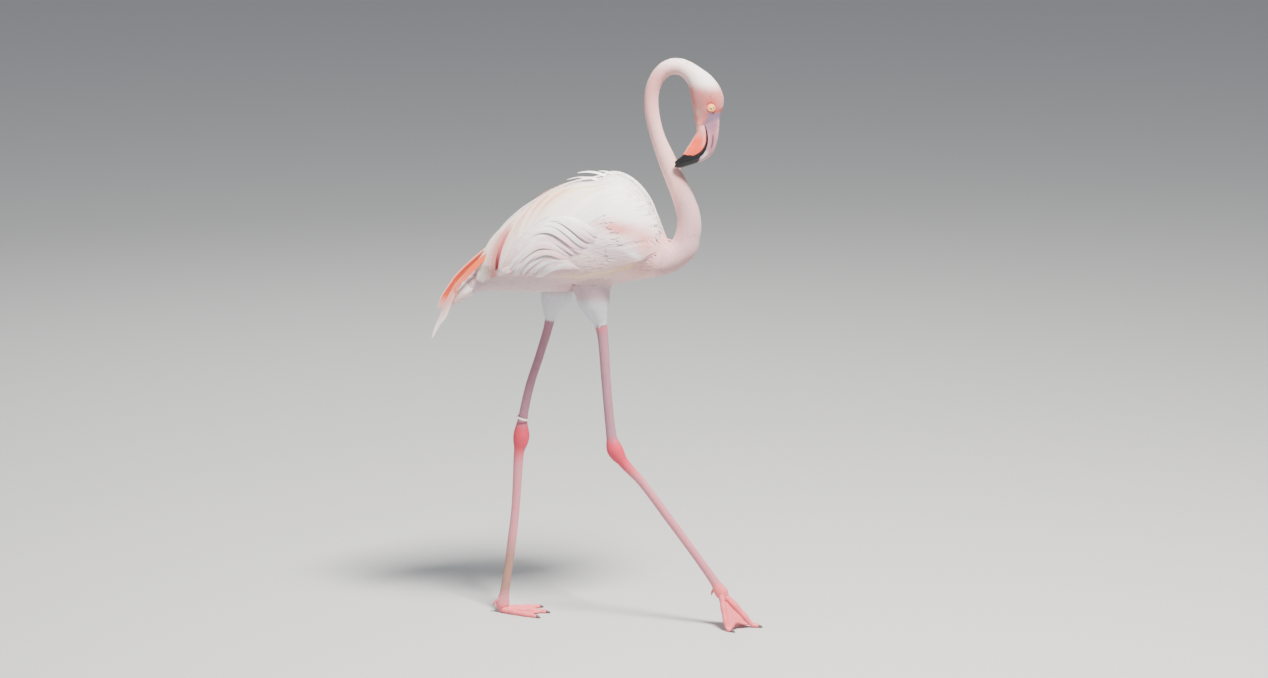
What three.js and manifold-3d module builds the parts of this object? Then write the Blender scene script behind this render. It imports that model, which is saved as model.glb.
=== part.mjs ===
// Greater flamingo (Phoenicopterus roseus), adult, life size, standing in mid-stride.
// Millimetres. +X is the way the bird faces, +Y is its left side, +Z is up, and the floor is z = 0.
// The drawing origin below is on the floor under the bird. The finished group is moved so that its
// origin is the bottom centre of its bounding box.

import * as THREE from 'three';
import { mergeVertices } from 'three/addons/utils/BufferGeometryUtils.js';
import Module from 'manifold-3d';

const wasm = await Module();
wasm.setup();

// ---- Driving dimensions ----
const GAP = 0.3;               // clearance between neighbouring solids
const WING_DEPTH = 9;          // thickness of the folded wing over the trunk
const LAYER_LONG = 3;          // long feathers stand this far over the trunk
const LAYER_COVERT = 5.5;      // covert feathers stand this far over the trunk
const EYE_RADIUS = 6.5;
const EYE_DEPTH = 4.3;         // eyeball centre below the skin
const BILL_PART = 0.4;         // gap between the upper and lower bill
const TIBIA_RADIUS = 8.6;
const TARSUS_RADIUS = 7.6;
const SHANK_FLATNESS = 0.78;   // sideways radius of a shank over its fore-and-aft radius
const WEB_THICKNESS = 2.4;
const BAND_INNER = 10.7;
const BAND_WALL = 1.3;
const BAND_HEIGHT = 3.6;
const RIGHT = -1;
const LEFT = 1;

// ---- Colours, one material per slot ----
const SLOTS = {
  feather_white: { color: 0xf3e6e4, roughness: 0.85, metalness: 0 },
  feather_pink: { color: 0xeec2bd, roughness: 0.85, metalness: 0 },
  feather_coral: { color: 0xe88465, roughness: 0.85, metalness: 0 },
  leg_skin: { color: 0xd98893, roughness: 0.6, metalness: 0 },
  joint_skin: { color: 0xd05a62, roughness: 0.6, metalness: 0 },
  foot_skin: { color: 0xdf8078, roughness: 0.55, metalness: 0 },
  bill_pale: { color: 0xd9bfc0, roughness: 0.4, metalness: 0 },
  bill_dark: { color: 0xe08a80, roughness: 0.4, metalness: 0 },
  claw: { color: 0x4d4140, roughness: 0.5, metalness: 0 },
  eye: { color: 0xe9dc9a, roughness: 0.1, metalness: 0 },
  band: { color: 0xf2f2ef, roughness: 0.5, metalness: 0 },
};

// ---- Small tools ----
const V = (x, y, z) => new THREE.Vector3(x, y, z);
const mix = (a, b, t) => a + (b - a) * t;
const rad = (degrees) => degrees * Math.PI / 180;

/** Catmull-Rom value of the keyed table at t, where rows are [t, value, ...]. */
function along(table, t) {
  let i = 0;
  while (i < table.length - 2 && t > table[i + 1][0]) i += 1;
  const at = (k) => table[Math.min(Math.max(k, 0), table.length - 1)];
  const [p0, p1, p2, p3] = [at(i - 1), at(i), at(i + 1), at(i + 2)];
  const u = Math.min(Math.max((t - p1[0]) / (p2[0] - p1[0]), 0), 1);
  return p1.slice(1).map((start, j) => {
    const end = p2[j + 1];
    const span = p2[0] - p1[0];
    const slope1 = i > 0 ? (end - p0[j + 1]) / (p2[0] - p0[0]) : (end - start) / span;
    const slope2 = i < table.length - 2 ? (p3[j + 1] - start) / (p3[0] - p1[0]) : (end - start) / span;
    const m1 = slope1 * span;
    const m2 = slope2 * span;
    const u2 = u * u;
    const u3 = u2 * u;
    return (2 * u3 - 3 * u2 + 1) * start + (u3 - 2 * u2 + u) * m1
      + (3 * u2 - 2 * u3) * end + (u3 - u2) * m2;
  });
}

/** Closed solid from corner points and triangles, turned to face out. */
function solid(points, faces) {
  let volume = 0;
  for (const [a, b, c] of faces) {
    volume += points[a].dot(points[b].clone().cross(points[c]));
  }
  const turned = volume < 0 ? faces.map(([a, b, c]) => [a, c, b]) : faces;
  return new wasm.Manifold(new wasm.Mesh({
    numProp: 3,
    vertProperties: new Float32Array(points.flatMap((p) => [p.x, p.y, p.z])),
    triVerts: new Uint32Array(turned.flat()),
  }));
}

/** Closed solid through rings of equal count, with a fan about the centre closing each end. */
function loft(rings) {
  const n = rings[0].length;
  const points = rings.flat();
  const faces = [];
  for (let r = 0; r < rings.length - 1; r += 1) {
    for (let i = 0; i < n; i += 1) {
      const a = r * n + i;
      const b = r * n + (i + 1) % n;
      faces.push([a, b, b + n], [a, b + n, a + n]);
    }
  }
  for (const [start, flip] of [[0, true], [(rings.length - 1) * n, false]]) {
    const centre = points.length;
    const middle = V(0, 0, 0);
    for (let i = 0; i < n; i += 1) middle.add(points[start + i]);
    points.push(middle.divideScalar(n));
    for (let i = 0; i < n; i += 1) {
      const a = start + i;
      const b = start + (i + 1) % n;
      faces.push(flip ? [b, a, centre] : [a, b, centre]);
    }
  }
  return solid(points, faces);
}

/** Ellipse ring about a centre, from one half axis to the other. */
function ring(centre, axisA, axisB, count) {
  const points = [];
  for (let i = 0; i < count; i += 1) {
    const turn = 2 * Math.PI * i / count;
    points.push(centre.clone().addScaledVector(axisA, Math.cos(turn)).addScaledVector(axisB, Math.sin(turn)));
  }
  return points;
}

/** Ring across a path: the in-plane half axis is `deep`, the sideways one is `wide`. */
function crossRing(centre, tangent, deep, wide, count) {
  const side = V(0, 1, 0).addScaledVector(tangent, -tangent.y).normalize();
  const up = side.clone().cross(tangent).normalize();
  return ring(centre, up.multiplyScalar(deep), side.multiplyScalar(wide), count);
}

/** Path with radii: rows are [x, y, z, deep, wide]; t runs from 0 to 1 by length. */
function makePath(rows) {
  const curve = new THREE.CatmullRomCurve3(rows.map(([x, y, z]) => V(x, y, z)), false, 'centripetal');
  curve.arcLengthDivisions = 400;
  const lengths = curve.getLengths(400);
  const total = lengths[400];
  const table = rows.map((row, i) => {
    const k = Math.round(400 * i / (rows.length - 1));
    return [lengths[k] / total, row[3], row[4] ?? row[3]];
  });
  return {
    length: total,
    knots: table.map(([t]) => t),
    point: (t) => curve.getPointAt(t),
    tangent: (t) => curve.getTangentAt(t),
    radii: (t) => along(table, t),
  };
}

/** Closed round body along a path, from t0 to t1, in `steps` lengths. */
function pathBody(path, t0, t1, steps, count, grow = 0) {
  const rings = [];
  for (let i = 0; i <= steps; i += 1) {
    const t = mix(t0, t1, i / steps);
    const [deep, wide] = path.radii(t);
    rings.push(crossRing(path.point(t), path.tangent(t), deep + grow, wide + grow, count));
  }
  return loft(rings);
}

/** Ellipsoid with its poles on Z. */
function ellipsoid(centre, a, b, c, count = 10, rows = 7) {
  const geometry = new THREE.SphereGeometry(1, count, rows);
  geometry.scale(a, b, c);
  geometry.translate(centre.x, centre.y, centre.z);
  return fromGeometry(geometry);
}

function fromGeometry(geometry) {
  geometry.deleteAttribute('normal');
  geometry.deleteAttribute('uv');
  const merged = mergeVertices(geometry, 1e-4);
  const position = merged.getAttribute('position');
  const points = [];
  for (let i = 0; i < position.count; i += 1) points.push(V().fromBufferAttribute(position, i));
  const faces = [];
  for (let i = 0; i < merged.index.count; i += 3) {
    const face = [merged.index.getX(i), merged.index.getX(i + 1), merged.index.getX(i + 2)];
    if (new Set(face).size === 3) faces.push(face);
  }
  return solid(points, faces);
}

const bird = new THREE.Group();
bird.name = 'greater_flamingo';
const materials = {};

function addNode(name, shape, slot) {
  const mesh = shape.getMesh();
  const geometry = new THREE.BufferGeometry();
  const stride = mesh.numProp;
  const count = mesh.vertProperties.length / stride;
  const position = new Float32Array(count * 3);
  for (let i = 0; i < count; i += 1) {
    for (let k = 0; k < 3; k += 1) position[3 * i + k] = mesh.vertProperties[stride * i + k];
  }
  geometry.setAttribute('position', new THREE.BufferAttribute(position, 3));
  geometry.setIndex([...mesh.triVerts]);
  geometry.computeVertexNormals();
  materials[slot] ??= new THREE.MeshStandardMaterial({ name: slot, ...SLOTS[slot] });
  const node = new THREE.Mesh(geometry, materials[slot]);
  node.name = name;
  bird.add(node);
}

// ---- Trunk ----
// Rows are [x, top, bottom, half width] of the body under its wings.
const TRUNK = [
  [-216, 646, 613, 14], [-200, 666, 606, 25], [-180, 696, 608.5, 38], [-155, 728, 609, 52],
  [-125, 756, 608.5, 65], [-95, 776, 609.5, 75], [-60, 796, 611, 83], [-25, 809.5, 612, 88],
  [10, 817, 616, 91], [40, 827, 623, 91], [65, 822, 630, 87], [85, 809, 634, 80],
  [100, 793, 636, 72], [113, 773, 638, 62], [124, 747, 640, 52], [133, 725, 642, 42],
  [140, 709, 646, 32], [145, 698, 654, 22],
];
const TRUNK_STATIONS = [-216, -204, -186, -162, -132, -96, -54, -12, 26, 54, 77, 97, 114, 127, 138, 145];
const EGG = 0.15;              // how much wider the body is low down than high up
const TRUNK_SIDES = 18;
const TRUNK_MIDDLE = (TRUNK[0][0] + TRUNK.at(-1)[0]) / 2;
const TRUNK_REACH = (TRUNK.at(-1)[0] - TRUNK[0][0]) / 2;

/** The body's shape, grown or shrunk by `grow`. */
function trunkShape(grow) {
  return loft(TRUNK_STATIONS.map((x) => {
    const [top, bottom, half] = along(TRUNK, x);
    const tall = (top - bottom) / 2;
    const limit = 0.55 * Math.min(tall, half);
    const step = Math.max(grow, -limit);
    const points = [];
    for (let i = 0; i < TRUNK_SIDES; i += 1) {
      const turn = 2 * Math.PI * i / TRUNK_SIDES;
      const wide = (half + step) * Math.cos(turn) * (1 - EGG * Math.sin(turn));
      points.push(V(x + grow * (x - TRUNK_MIDDLE) / TRUNK_REACH, wide,
        (top + bottom) / 2 + (tall + step) * Math.sin(turn)));
    }
    return points;
  }));
}

// ---- Neck ----
// Rows are [x, y, z, radius] from the breast, up the S-curve and over the loop to the nape.
const NECK = makePath([
  [176.8, 0, 714, 22.6], [180, 0, 735, 21.8], [177.5, 0, 757, 20.8], [170.5, -0.3, 779, 19.5],
  [161.5, -0.6, 801, 18.3], [152, -1, 822.5, 17.2], [143, -1.4, 844, 16.3], [134, -1.8, 865.5, 15.2],
  [125.5, -2.2, 887, 13.6], [119, -2.8, 908.6, 13], [114, -3.4, 930, 13.3], [111.7, -4, 951.6, 13.2],
  [112.5, -4.8, 971, 13], [118, -5.8, 990, 13.2], [127.5, -7, 1006, 13.6], [139.5, -8.5, 1017, 14.1],
  [154, -10, 1021.5, 14.6], [166.5, -12, 1020, 15], [177, -13.5, 1015.2, 15.8],
]);
const NECK_CUTS = [0, 0.15, 0.3, 0.45, 0.6, 0.71, 0.81, 0.905, 1];
const NECK_SIDES = 12;
// Rows are [x, y, z, deep, wide] of the neck's root, inside the breast.
const NECK_ROOT = makePath([
  [176.8, 0, 714, 22.6, 22.6], [172, 0, 697, 24.2, 25], [158, 0, 682, 25.5, 29], [140, 0, 676, 31, 36],
  [118, 0, 674, 34.5, 46], [92, 0, 676, 36, 54],
]);

function neckLength(index) {
  const pull = GAP / 2 / NECK.length;
  const steps = index < 4 ? 2 : 3;
  return pathBody(NECK, NECK_CUTS[index] + (index ? pull : 0), NECK_CUTS[index + 1] - pull, steps, NECK_SIDES);
}

/** The neck's root, whose first ring is parallel to the neck's own base. */
function neckRoot() {
  const way = NECK.tangent(0);
  const [deep, wide] = NECK_ROOT.radii(0);
  const rings = [crossRing(NECK.point(0).addScaledVector(way, -GAP), way.negate(), deep, wide, 16)];
  for (let i = 1; i <= 8; i += 1) {
    const [here, there] = NECK_ROOT.radii(i / 8);
    rings.push(crossRing(NECK_ROOT.point(i / 8), NECK_ROOT.tangent(i / 8), here, there, 16));
  }
  return loft(rings);
}

// ---- Wings ----
/** Upright slab with the outline given in (x, z), reaching from y = inner(x) outwards. */
function sideSlab(outline, side, inner) {
  const shape = new THREE.Shape(outline.map(([x, z]) => new THREE.Vector2(x, z)));
  const geometry = new THREE.ExtrudeGeometry(shape, { depth: 1, bevelEnabled: false, curveSegments: 1 });
  const position = geometry.getAttribute('position');
  for (let i = 0; i < position.count; i += 1) {
    const x = position.getX(i);
    const reach = mix(inner(x), 160, position.getZ(i));
    position.setXYZ(i, x, side * reach, position.getY(i));
  }
  return fromGeometry(geometry);
}

/** Points from one corner to another with `count` round feather ends standing out by `depth`. */
function lobes(from, to, count, depth, each = 3) {
  const way = new THREE.Vector2(to[0] - from[0], to[1] - from[1]);
  const out = new THREE.Vector2(way.y, -way.x).normalize();
  const points = [];
  for (let i = 0; i < count * each; i += 1) {
    const t = i / (count * each);
    const bulge = depth * Math.sqrt(Math.abs(Math.sin(Math.PI * t * count)));
    points.push([from[0] + way.x * t + out.x * bulge, from[1] + way.y * t + out.y * bulge]);
  }
  return points;
}

/** Outline moved outwards by `grow`. Outlines run anticlockwise. */
function growOutline(outline, grow) {
  const n = outline.length;
  return outline.map((point, i) => {
    const before = outline[(i + n - 1) % n];
    const after = outline[(i + 1) % n];
    const way = new THREE.Vector2(after[0] - before[0], after[1] - before[1]).normalize();
    return [point[0] + way.y * grow, point[1] - way.x * grow];
  });
}

// Covert feathers cover the front of the wing. Their rear edge hangs over the long feathers.
const COVERTS = [
  [170, 712], [170, 860], [40, 860],
  ...lobes([34, 790], [-52, 724], 4, 5),
  ...lobes([-52, 724], [-106, 690], 3, 5),
  ...lobes([-106, 690], [-124, 650], 2, 5),
  ...lobes([-124, 650], [-30, 652], 5, 4),
  [-30, 652], [20, 657], [70, 668], [110, 684], [136, 700],
];
// Long feathers of the shoulder and inner wing reach back over the rump.
const LONG_FEATHERS = [
  [-110, 645], [60, 780], [60, 870], [-240, 870], [-240, 735], [-196, 680],
  ...lobes([-192, 672], [-152, 632], 3, 4, 4),
  [-152, 632], [-130, 634],
];

/** Distance from the mid-plane at which a wing's upper edge lies. */
const wingInner = (grow) => (x) => Math.max(5, mix(5, 34, (x + 40) / 170)) - grow;

function wingPart(outline, layer, side, grow) {
  return trunkShape(layer + grow)
    .intersect(sideSlab(growOutline(outline, grow), side, wingInner(grow)))
    .subtract(trunkShape(-WING_DEPTH - grow));
}

/** Thin feather blade along a path. */
function blade(rows, steps = 6, count = 8, grow = 0) {
  return pathBody(makePath(rows), 0, 1, steps, count, grow);
}

// Loose feather tips that stand up from the back. Rows are [x, y, z, deep, wide].
const LOOSE_TIPS = [
  [[34, -20, 816, 3, 5], [8, -14, 829, 1.6, 5], [-20, -12, 829, 0.5, 1]],
  [[20, -24, 810, 3, 5], [0, -21, 823, 1.6, 5], [-17, -20, 822, 0.5, 1]],
];

const wingCut = [];
for (const side of [RIGHT, LEFT]) {
  const name = side === RIGHT ? 'right' : 'left';
  const coverts = wingPart(COVERTS, LAYER_COVERT, side, 0);
  const covertSlab = sideSlab(growOutline(COVERTS, GAP), side, wingInner(GAP));
  let long = wingPart(LONG_FEATHERS, LAYER_LONG, side, 0).subtract(covertSlab);
  if (side === RIGHT) {
    for (const rows of LOOSE_TIPS) {
      long = long.add(blade(rows, 4, 6));
      wingCut.push(blade(rows, 4, 6, GAP));
    }
    long = long.subtract(trunkShape(-WING_DEPTH));
  }
  addNode(`wing_${name}_coverts`, coverts, 'feather_white');
  addNode(`wing_${name}_long_feathers`, long.subtract(covertSlab), 'feather_white');
  wingCut.push(wingPart(COVERTS, LAYER_COVERT, side, GAP), wingPart(LONG_FEATHERS, LAYER_LONG, side, GAP));
}

let trunk = trunkShape(0).add(neckRoot());
for (const cut of wingCut) trunk = trunk.subtract(cut);
addNode('trunk', trunk, 'feather_white');
const trunkGrown = trunkShape(LAYER_COVERT + GAP);

// ---- Wing tips and tail ----
// Rows are [x, y, z, deep, wide].
const TIP_NEAR = [
  [-192, -27, 640, 11, 5], [-215, -33, 620, 11, 5], [-237.5, -34, 598.5, 9, 4.5], [-255, -33, 578, 6.5, 3.5],
  [-268, -32, 557, 4.4, 2.5], [-282, -31, 526, 0.9, 0.7],
];
const TIP_FAR = [
  [-188, 27, 668, 10, 5], [-214, 30, 652, 10, 5], [-238, 29, 628, 10, 4.5], [-258, 27, 604, 9.5, 3.5],
  [-272, 26, 582, 7, 2.5], [-279, 25, 562, 2, 0.8],
];
const TAIL = [
  [-206, 0, 629, 19, 22], [-220, 0, 615, 17, 24], [-234, 0, 601, 12.5, 24], [-246, 0, 588.5, 6, 20],
  [-252, 0, 582, 1.5, 10],
];
addNode('wing_right_tip', blade(TIP_NEAR, 8, 10).subtract(trunkGrown), 'feather_coral');
addNode('wing_left_tip', blade(TIP_FAR, 8, 10).subtract(trunkGrown), 'feather_coral');
addNode('tail', blade(TAIL, 6, 14).subtract(trunkGrown), 'feather_pink');

// ---- Neck and head ----
for (let i = 0; i < 8; i += 1) addNode(`neck_${i + 1}`, neckLength(i), 'feather_pink');

const HEAD_SIDES = 14;
// Rows are [x, y, z, turn of the front in degrees, deep, wide], nape to bill.
const HEAD = [
  [177, -13.5, 1015.2, 60, 15.8, 15.8], [188.5, -15, 1006, 46, 18, 17.4], [199.5, -16.5, 994, 33, 22.8, 19],
  [208, -18, 979.5, 20, 27, 20], [213.2, -19, 964.5, 11, 28.8, 20], [214.5, -19.6, 949, 9, 27, 18.8],
  [214, -20, 936.5, 15, 24.6, 16.4], [214.2, -20.2, 924.7, 23, 22.3, 14],
];
const BASE_TURN = rad(23);
const BILL_WAY = V(Math.sin(BASE_TURN), 0, -Math.cos(BASE_TURN));
const FACE_END = V(...HEAD.at(-1).slice(0, 3));
const headRows = HEAD.map((row, i) => [i, ...row]);
const napeWay = NECK.tangent(1);
const napeSide = V(0, 1, 0).addScaledVector(napeWay, -napeWay.y).normalize();
const napeFront = napeWay.clone().cross(napeSide);
const headRings = [ring(NECK.point(1).addScaledVector(napeWay, GAP), napeFront.multiplyScalar(HEAD[0][4]),
  napeSide.multiplyScalar(HEAD[0][5]), HEAD_SIDES)];
for (let i = 1; i <= 10; i += 1) {
  const [x, y, z, turn, deep, wide] = along(headRows, (HEAD.length - 1) * i / 10);
  const front = V(Math.cos(rad(turn)), 0, Math.sin(rad(turn)));
  headRings.push(ring(V(x, y, z), front.multiplyScalar(deep), V(0, wide, 0), HEAD_SIDES));
}
const EYE = V(221, -19.6, 951.5);
const EYE_REACH = 18.2 - EYE_DEPTH;
let head = loft(headRings);
for (const side of [RIGHT, LEFT]) {
  const name = side === RIGHT ? 'right' : 'left';
  const centre = EYE.clone().add(V(0, side * EYE_REACH, 0));
  head = head.subtract(ellipsoid(centre, EYE_RADIUS + GAP, EYE_RADIUS + GAP, EYE_RADIUS + GAP));
  addNode(`eye_${name}`, ellipsoid(centre, EYE_RADIUS, EYE_RADIUS, EYE_RADIUS), 'eye');
}
addNode('head', head, 'feather_pink');

// Rows are [ridge x, ridge z, gape x, gape z, keel x, keel z, half width], from the face to the tip.
const BILL = [
  [234.8, 934, 208.3, 922.4, 193.6, 916.2, 13.6], [234.2, 918, 211.6, 911, 193.6, 906, 13.2],
  [233, 903, 213.4, 900.3, 189.8, 897.6, 12.8], [230.9, 891, 213.4, 889.6, 185.6, 890.4, 12.4],
  [226.7, 876.5, 211.2, 880.8, 181.8, 884, 12], [220.3, 865.3, 207.2, 873.4, 178, 878.6, 11.4],
  [209.5, 857, 201.6, 867.2, 174.5, 872.4, 10.4], [193.6, 850.1, 190.6, 861.2, 171, 867, 8.8],
  [177, 844.8, 176.3, 856, 166.5, 862.2, 7], [163, 841.2, 164.3, 852, 160, 857, 4.8],
  [154.8, 843, 156.6, 848.6, 155, 851.6, 2.2],
];
const BILL_TIP_SIDE = -23.5;   // the bill leans a little to the bird's right

/** Bill half: an arch from the flat gape face (edge) to the ridge or keel (crest). */
function billHalf(edgeAt, crestAt, inset, arch) {
  const rows = BILL.map((row, i) => [i, ...row]);
  const rings = [];
  for (let i = 0; i <= 14; i += 1) {
    const s = (BILL.length - 1) * (i / 14) ** 0.9;
    const row = along(rows, s);
    const half = row[6];
    const edge = V(row[edgeAt], 0, row[edgeAt + 1]);
    const crest = V(row[crestAt], 0, row[crestAt + 1]);
    const up = crest.clone().sub(edge).normalize();
    const depth = crest.distanceTo(edge);
    edge.addScaledVector(up, inset);
    const lateral = mix(-20.2, BILL_TIP_SIDE, s / (BILL.length - 1));
    const points = [];
    for (let k = 0; k <= 6; k += 1) {
      const turn = Math.PI * k / 6;
      const rise = (depth - inset) * Math.sin(turn) ** arch;
      points.push(V(0, lateral + half * Math.cos(turn), 0).add(edge).addScaledVector(up, rise));
    }
    points.push(V(0, lateral - half / 3, 0).add(edge), V(0, lateral + half / 3, 0).add(edge));
    for (const point of points) {
      const ahead = point.clone().sub(FACE_END).dot(BILL_WAY);
      if (i === 0 || ahead < GAP) point.addScaledVector(BILL_WAY, GAP - ahead);
    }
    rings.push(points);
  }
  return loft(rings);
}
addNode('bill_upper', billHalf(2, 0, BILL_PART / 2, 0.75), 'bill_pale');
addNode('bill_lower', billHalf(2, 4, BILL_PART / 2, 0.6), 'bill_dark');

// ---- Legs ----
// Rows are [x, y, z, deep, wide], from the body down.
const THIGH_RIGHT = [
  [12, -40, 668, 44, 34], [8, -40, 640, 40, 32], [10, -39, 615, 32, 27], [13, -38, 598, 28.5, 24],
  [17, -37, 583, 22.5, 19.5], [20.6, -36.5, 571, 16.8, 15], [23, -36, 563.5, 12.6, 11.5],
];
const THIGH_LEFT = [
  [-64, 40, 662, 46, 34], [-60.5, 40, 630, 38, 31], [-62, 38, 602, 31, 26], [-67, 37, 586, 25, 22],
  [-72.3, 36.5, 567, 16.6, 15.5], [-74.6, 36, 555, 10.4, 10],
];
// Bare legs, from the thigh's feathers to the sole. Rows are [x, y, z, fore-and-aft radius].
const legPath = (rows) => makePath(rows.map(([x, y, z, deep]) => [x, y, z, deep, deep * SHANK_FLATNESS]));
const LEG_RIGHT = legPath([
  [23, -36, 563.5, 11.5], [27.9, -36.3, 534.7, 9.6], [33.3, -37, 461, TIBIA_RADIUS],
  [39.5, -37.6, 388, TIBIA_RADIUS], [44, -38, 349, 9.8],
  [46.3, -38.2, 338.5, 12.6], [49.6, -38.3, 328, 14.6], [55.5, -38.3, 317.5, 13.2], [63.3, -38.2, 307, 9.9],
  [71, -38, 297.5, 9],
  [96.5, -37.7, 270.5, 7.8], [148.5, -36.6, 200, TARSUS_RADIUS], [202, -35, 125.5, 7.4], [232, -34, 82, 8.6],
  [238, -33.6, 72, 11], [244, -33.2, 63, 12], [249, -33, 54, 8],
]);
const LEG_LEFT = legPath([
  [-74.6, 36, 555, 9.4], [-78.6, 36.2, 535, 8.2], [-94, 36.6, 484, 7.7], [-113.5, 37.2, 423, 7.9],
  [-126.5, 38, 361, 9],
  [-128, 38, 346, 12.4], [-128.6, 38, 333, 14.8], [-130.4, 38, 319, 13.4], [-132.6, 37.8, 306, 9.8],
  [-134, 37.6, 294, 9],
  [-140, 36, 198, TARSUS_RADIUS], [-146.5, 34, 139, 8], [-154, 32, 82, 8], [-161, 30.6, 36, 8.8],
  [-163, 30.2, 24, 11], [-164, 30, 13, 12.5], [-161, 30, 6, 9],
]);
// Row numbers at which the tibia, ankle and tarsus end.
const CUTS_RIGHT = [4, 9, 13];
const CUTS_LEFT = [4, 9, 13];

function addLeg(name, thigh, leg, cuts) {
  const pull = GAP / 2 / leg.length;
  const [tibiaEnd, ankleEnd, tarsusEnd] = cuts.map((i) => leg.knots[i]);
  const flesh = makePath(thigh);
  const rings = [];
  for (let i = 0; i < 9; i += 1) {
    rings.push(crossRing(flesh.point(i / 9), flesh.tangent(i / 9), ...flesh.radii(i / 9), 14));
  }
  const cuff = leg.point(0).addScaledVector(leg.tangent(0), -GAP);
  rings.push(crossRing(cuff, leg.tangent(0), ...flesh.radii(1), 14));
  addNode(`thigh_${name}`, loft(rings).subtract(trunkGrown), 'feather_white');
  addNode(`tibia_${name}`, pathBody(leg, 0, tibiaEnd - pull, 5, 10), 'leg_skin');
  addNode(`ankle_${name}`, pathBody(leg, tibiaEnd + pull, ankleEnd - pull, 7, 10), 'joint_skin');
  addNode(`tarsus_${name}`, pathBody(leg, ankleEnd + pull, tarsusEnd - pull, 6, 10), 'leg_skin');
  return pathBody(leg, tarsusEnd + pull, 1, 5, 10);
}
const footTopRight = addLeg('right', THIGH_RIGHT, LEG_RIGHT, CUTS_RIGHT);
const footTopLeft = addLeg('left', THIGH_LEFT, LEG_LEFT, CUTS_LEFT);

// ---- Feet ----
// Each toe row is [x, y, z, radius], from the joint to where its claw starts.
const FOOT_RIGHT = {
  pad: null,
  toes: {
    inner: [[243, -29, 62, 6], [257, -23, 43, 5.8], [270, -13, 20, 5], [280, -6.2, 5, 4.6], [288, -3, 2.6, 3.8]],
    middle: [[245, -33, 61, 7.6], [263, -32.8, 45, 7.2], [283, -32.4, 23, 6.2], [299, -32, 5.6, 5.2],
      [310, -31.8, 2.9, 4.3]],
    outer: [[243, -38, 60, 6.5], [247, -46, 42, 6.2], [251, -55, 21, 5.4], [256.5, -61.3, 5, 4.8],
      [263, -65, 2.7, 4]],
  },
};
const FOOT_LEFT = {
  pad: [-160, 30, 4.6, 12, 10, 6],
  toes: {
    inner: [[-163, 26, 5.2, 6.5], [-142, 15, 4.2, 5.8], [-118, 4, 3.5, 5], [-98, -4, 2.6, 4]],
    middle: [[-162, 30, 5.8, 7.5], [-138, 30, 5, 6.8], [-110, 29.6, 4, 5.6], [-84, 29.4, 2.8, 4.2]],
    outer: [[-163, 34, 5.2, 6.8], [-143, 45, 4.4, 6], [-119, 56, 3.7, 5.2], [-100, 63.5, 2.6, 4]],
  },
};
const WEB_REACH = 0.93;        // how far along the toes the webs go

/** Web between two toes: a thin sheet whose front edge curves in between the claws. */
function web(toeA, toeB, reach) {
  const steps = 5;
  const across = 3;
  const top = [];
  const bottom = [];
  for (let i = 0; i <= steps; i += 1) {
    for (let j = 0; j <= across; j += 1) {
      const s = j / across;
      const bow = 1 - 0.22 * Math.sin(Math.PI * s);
      const t = mix(0.04, reach * bow, i / steps);
      const a = toeA.point(t);
      const b = toeB.point(t);
      const here = a.clone().lerp(b, s);
      const level = Math.max(here.z - 1.2 * Math.sin(Math.PI * s), WEB_THICKNESS / 2 + 0.3);
      const normal = toeA.tangent(t).add(toeB.tangent(t)).cross(b.clone().sub(a)).normalize();
      if (normal.z < 0) normal.negate();
      here.z = level;
      top.push(here.clone().addScaledVector(normal, WEB_THICKNESS / 2));
      bottom.push(here.clone().addScaledVector(normal, -WEB_THICKNESS / 2));
    }
  }
  const points = [...top, ...bottom];
  const under = top.length;
  const row = across + 1;
  const faces = [];
  for (let i = 0; i < steps; i += 1) {
    for (let j = 0; j < across; j += 1) {
      const a = i * row + j;
      faces.push([a, a + row, a + row + 1], [a, a + row + 1, a + 1]);
      faces.push([under + a, under + a + row + 1, under + a + row], [under + a, under + a + 1, under + a + row + 1]);
    }
  }
  const rim = [];
  for (let j = 0; j < across; j += 1) rim.push(j);
  for (let i = 0; i < steps; i += 1) rim.push(i * row + across);
  for (let j = across; j > 0; j -= 1) rim.push(steps * row + j);
  for (let i = steps; i > 0; i -= 1) rim.push(i * row);
  rim.forEach((a, k) => {
    const b = rim[(k + 1) % rim.length];
    faces.push([a, b, under + b], [a, under + b, under + a]);
  });
  return solid(points, faces);
}

/** Everything below the floor, as a block. */
function belowFloor() {
  const geometry = new THREE.BoxGeometry(800, 400, 60);
  geometry.translate(60, 0, -30);
  return fromGeometry(geometry);
}

const CLAW_LENGTH = 8;

function addFoot(name, plan, jointBody) {
  const toes = Object.fromEntries(Object.entries(plan.toes).map(([toe, rows]) => (
    [toe, makePath(rows.map(([x, y, z, r]) => [x, y, z, r * 0.86, r]))])));
  let foot = jointBody;
  for (const toe of Object.values(toes)) foot = foot.add(pathBody(toe, 0, 1, 4, 7));
  if (plan.pad) {
    const [x, y, z, a, b, c] = plan.pad;
    foot = foot.add(ellipsoid(V(x, y, z), a, b, c));
  }
  foot = foot
    .add(web(toes.inner, toes.middle, WEB_REACH))
    .add(web(toes.middle, toes.outer, WEB_REACH))
    .subtract(belowFloor());
  addNode(`foot_${name}`, foot, 'foot_skin');
  for (const [toe, path] of Object.entries(toes)) {
    const end = path.point(1);
    const way = path.tangent(1);
    way.z = 0;
    way.normalize();
    const claw = [];
    for (const [step, wide, tall, level] of [[GAP, 3.3, 2.5, 3], [3, 3.1, 2.2, 2.7], [6, 2.3, 1.6, 2],
      [CLAW_LENGTH, 0.9, 0.7, 1]]) {
      const centre = V(end.x, end.y, level).addScaledVector(way, step);
      claw.push(ring(centre, V(-way.y, way.x, 0).multiplyScalar(wide), V(0, 0, tall), 8));
    }
    addNode(`claw_${name}_${toe}`, loft(claw).subtract(foot).subtract(belowFloor()), 'claw');
  }
}
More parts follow.
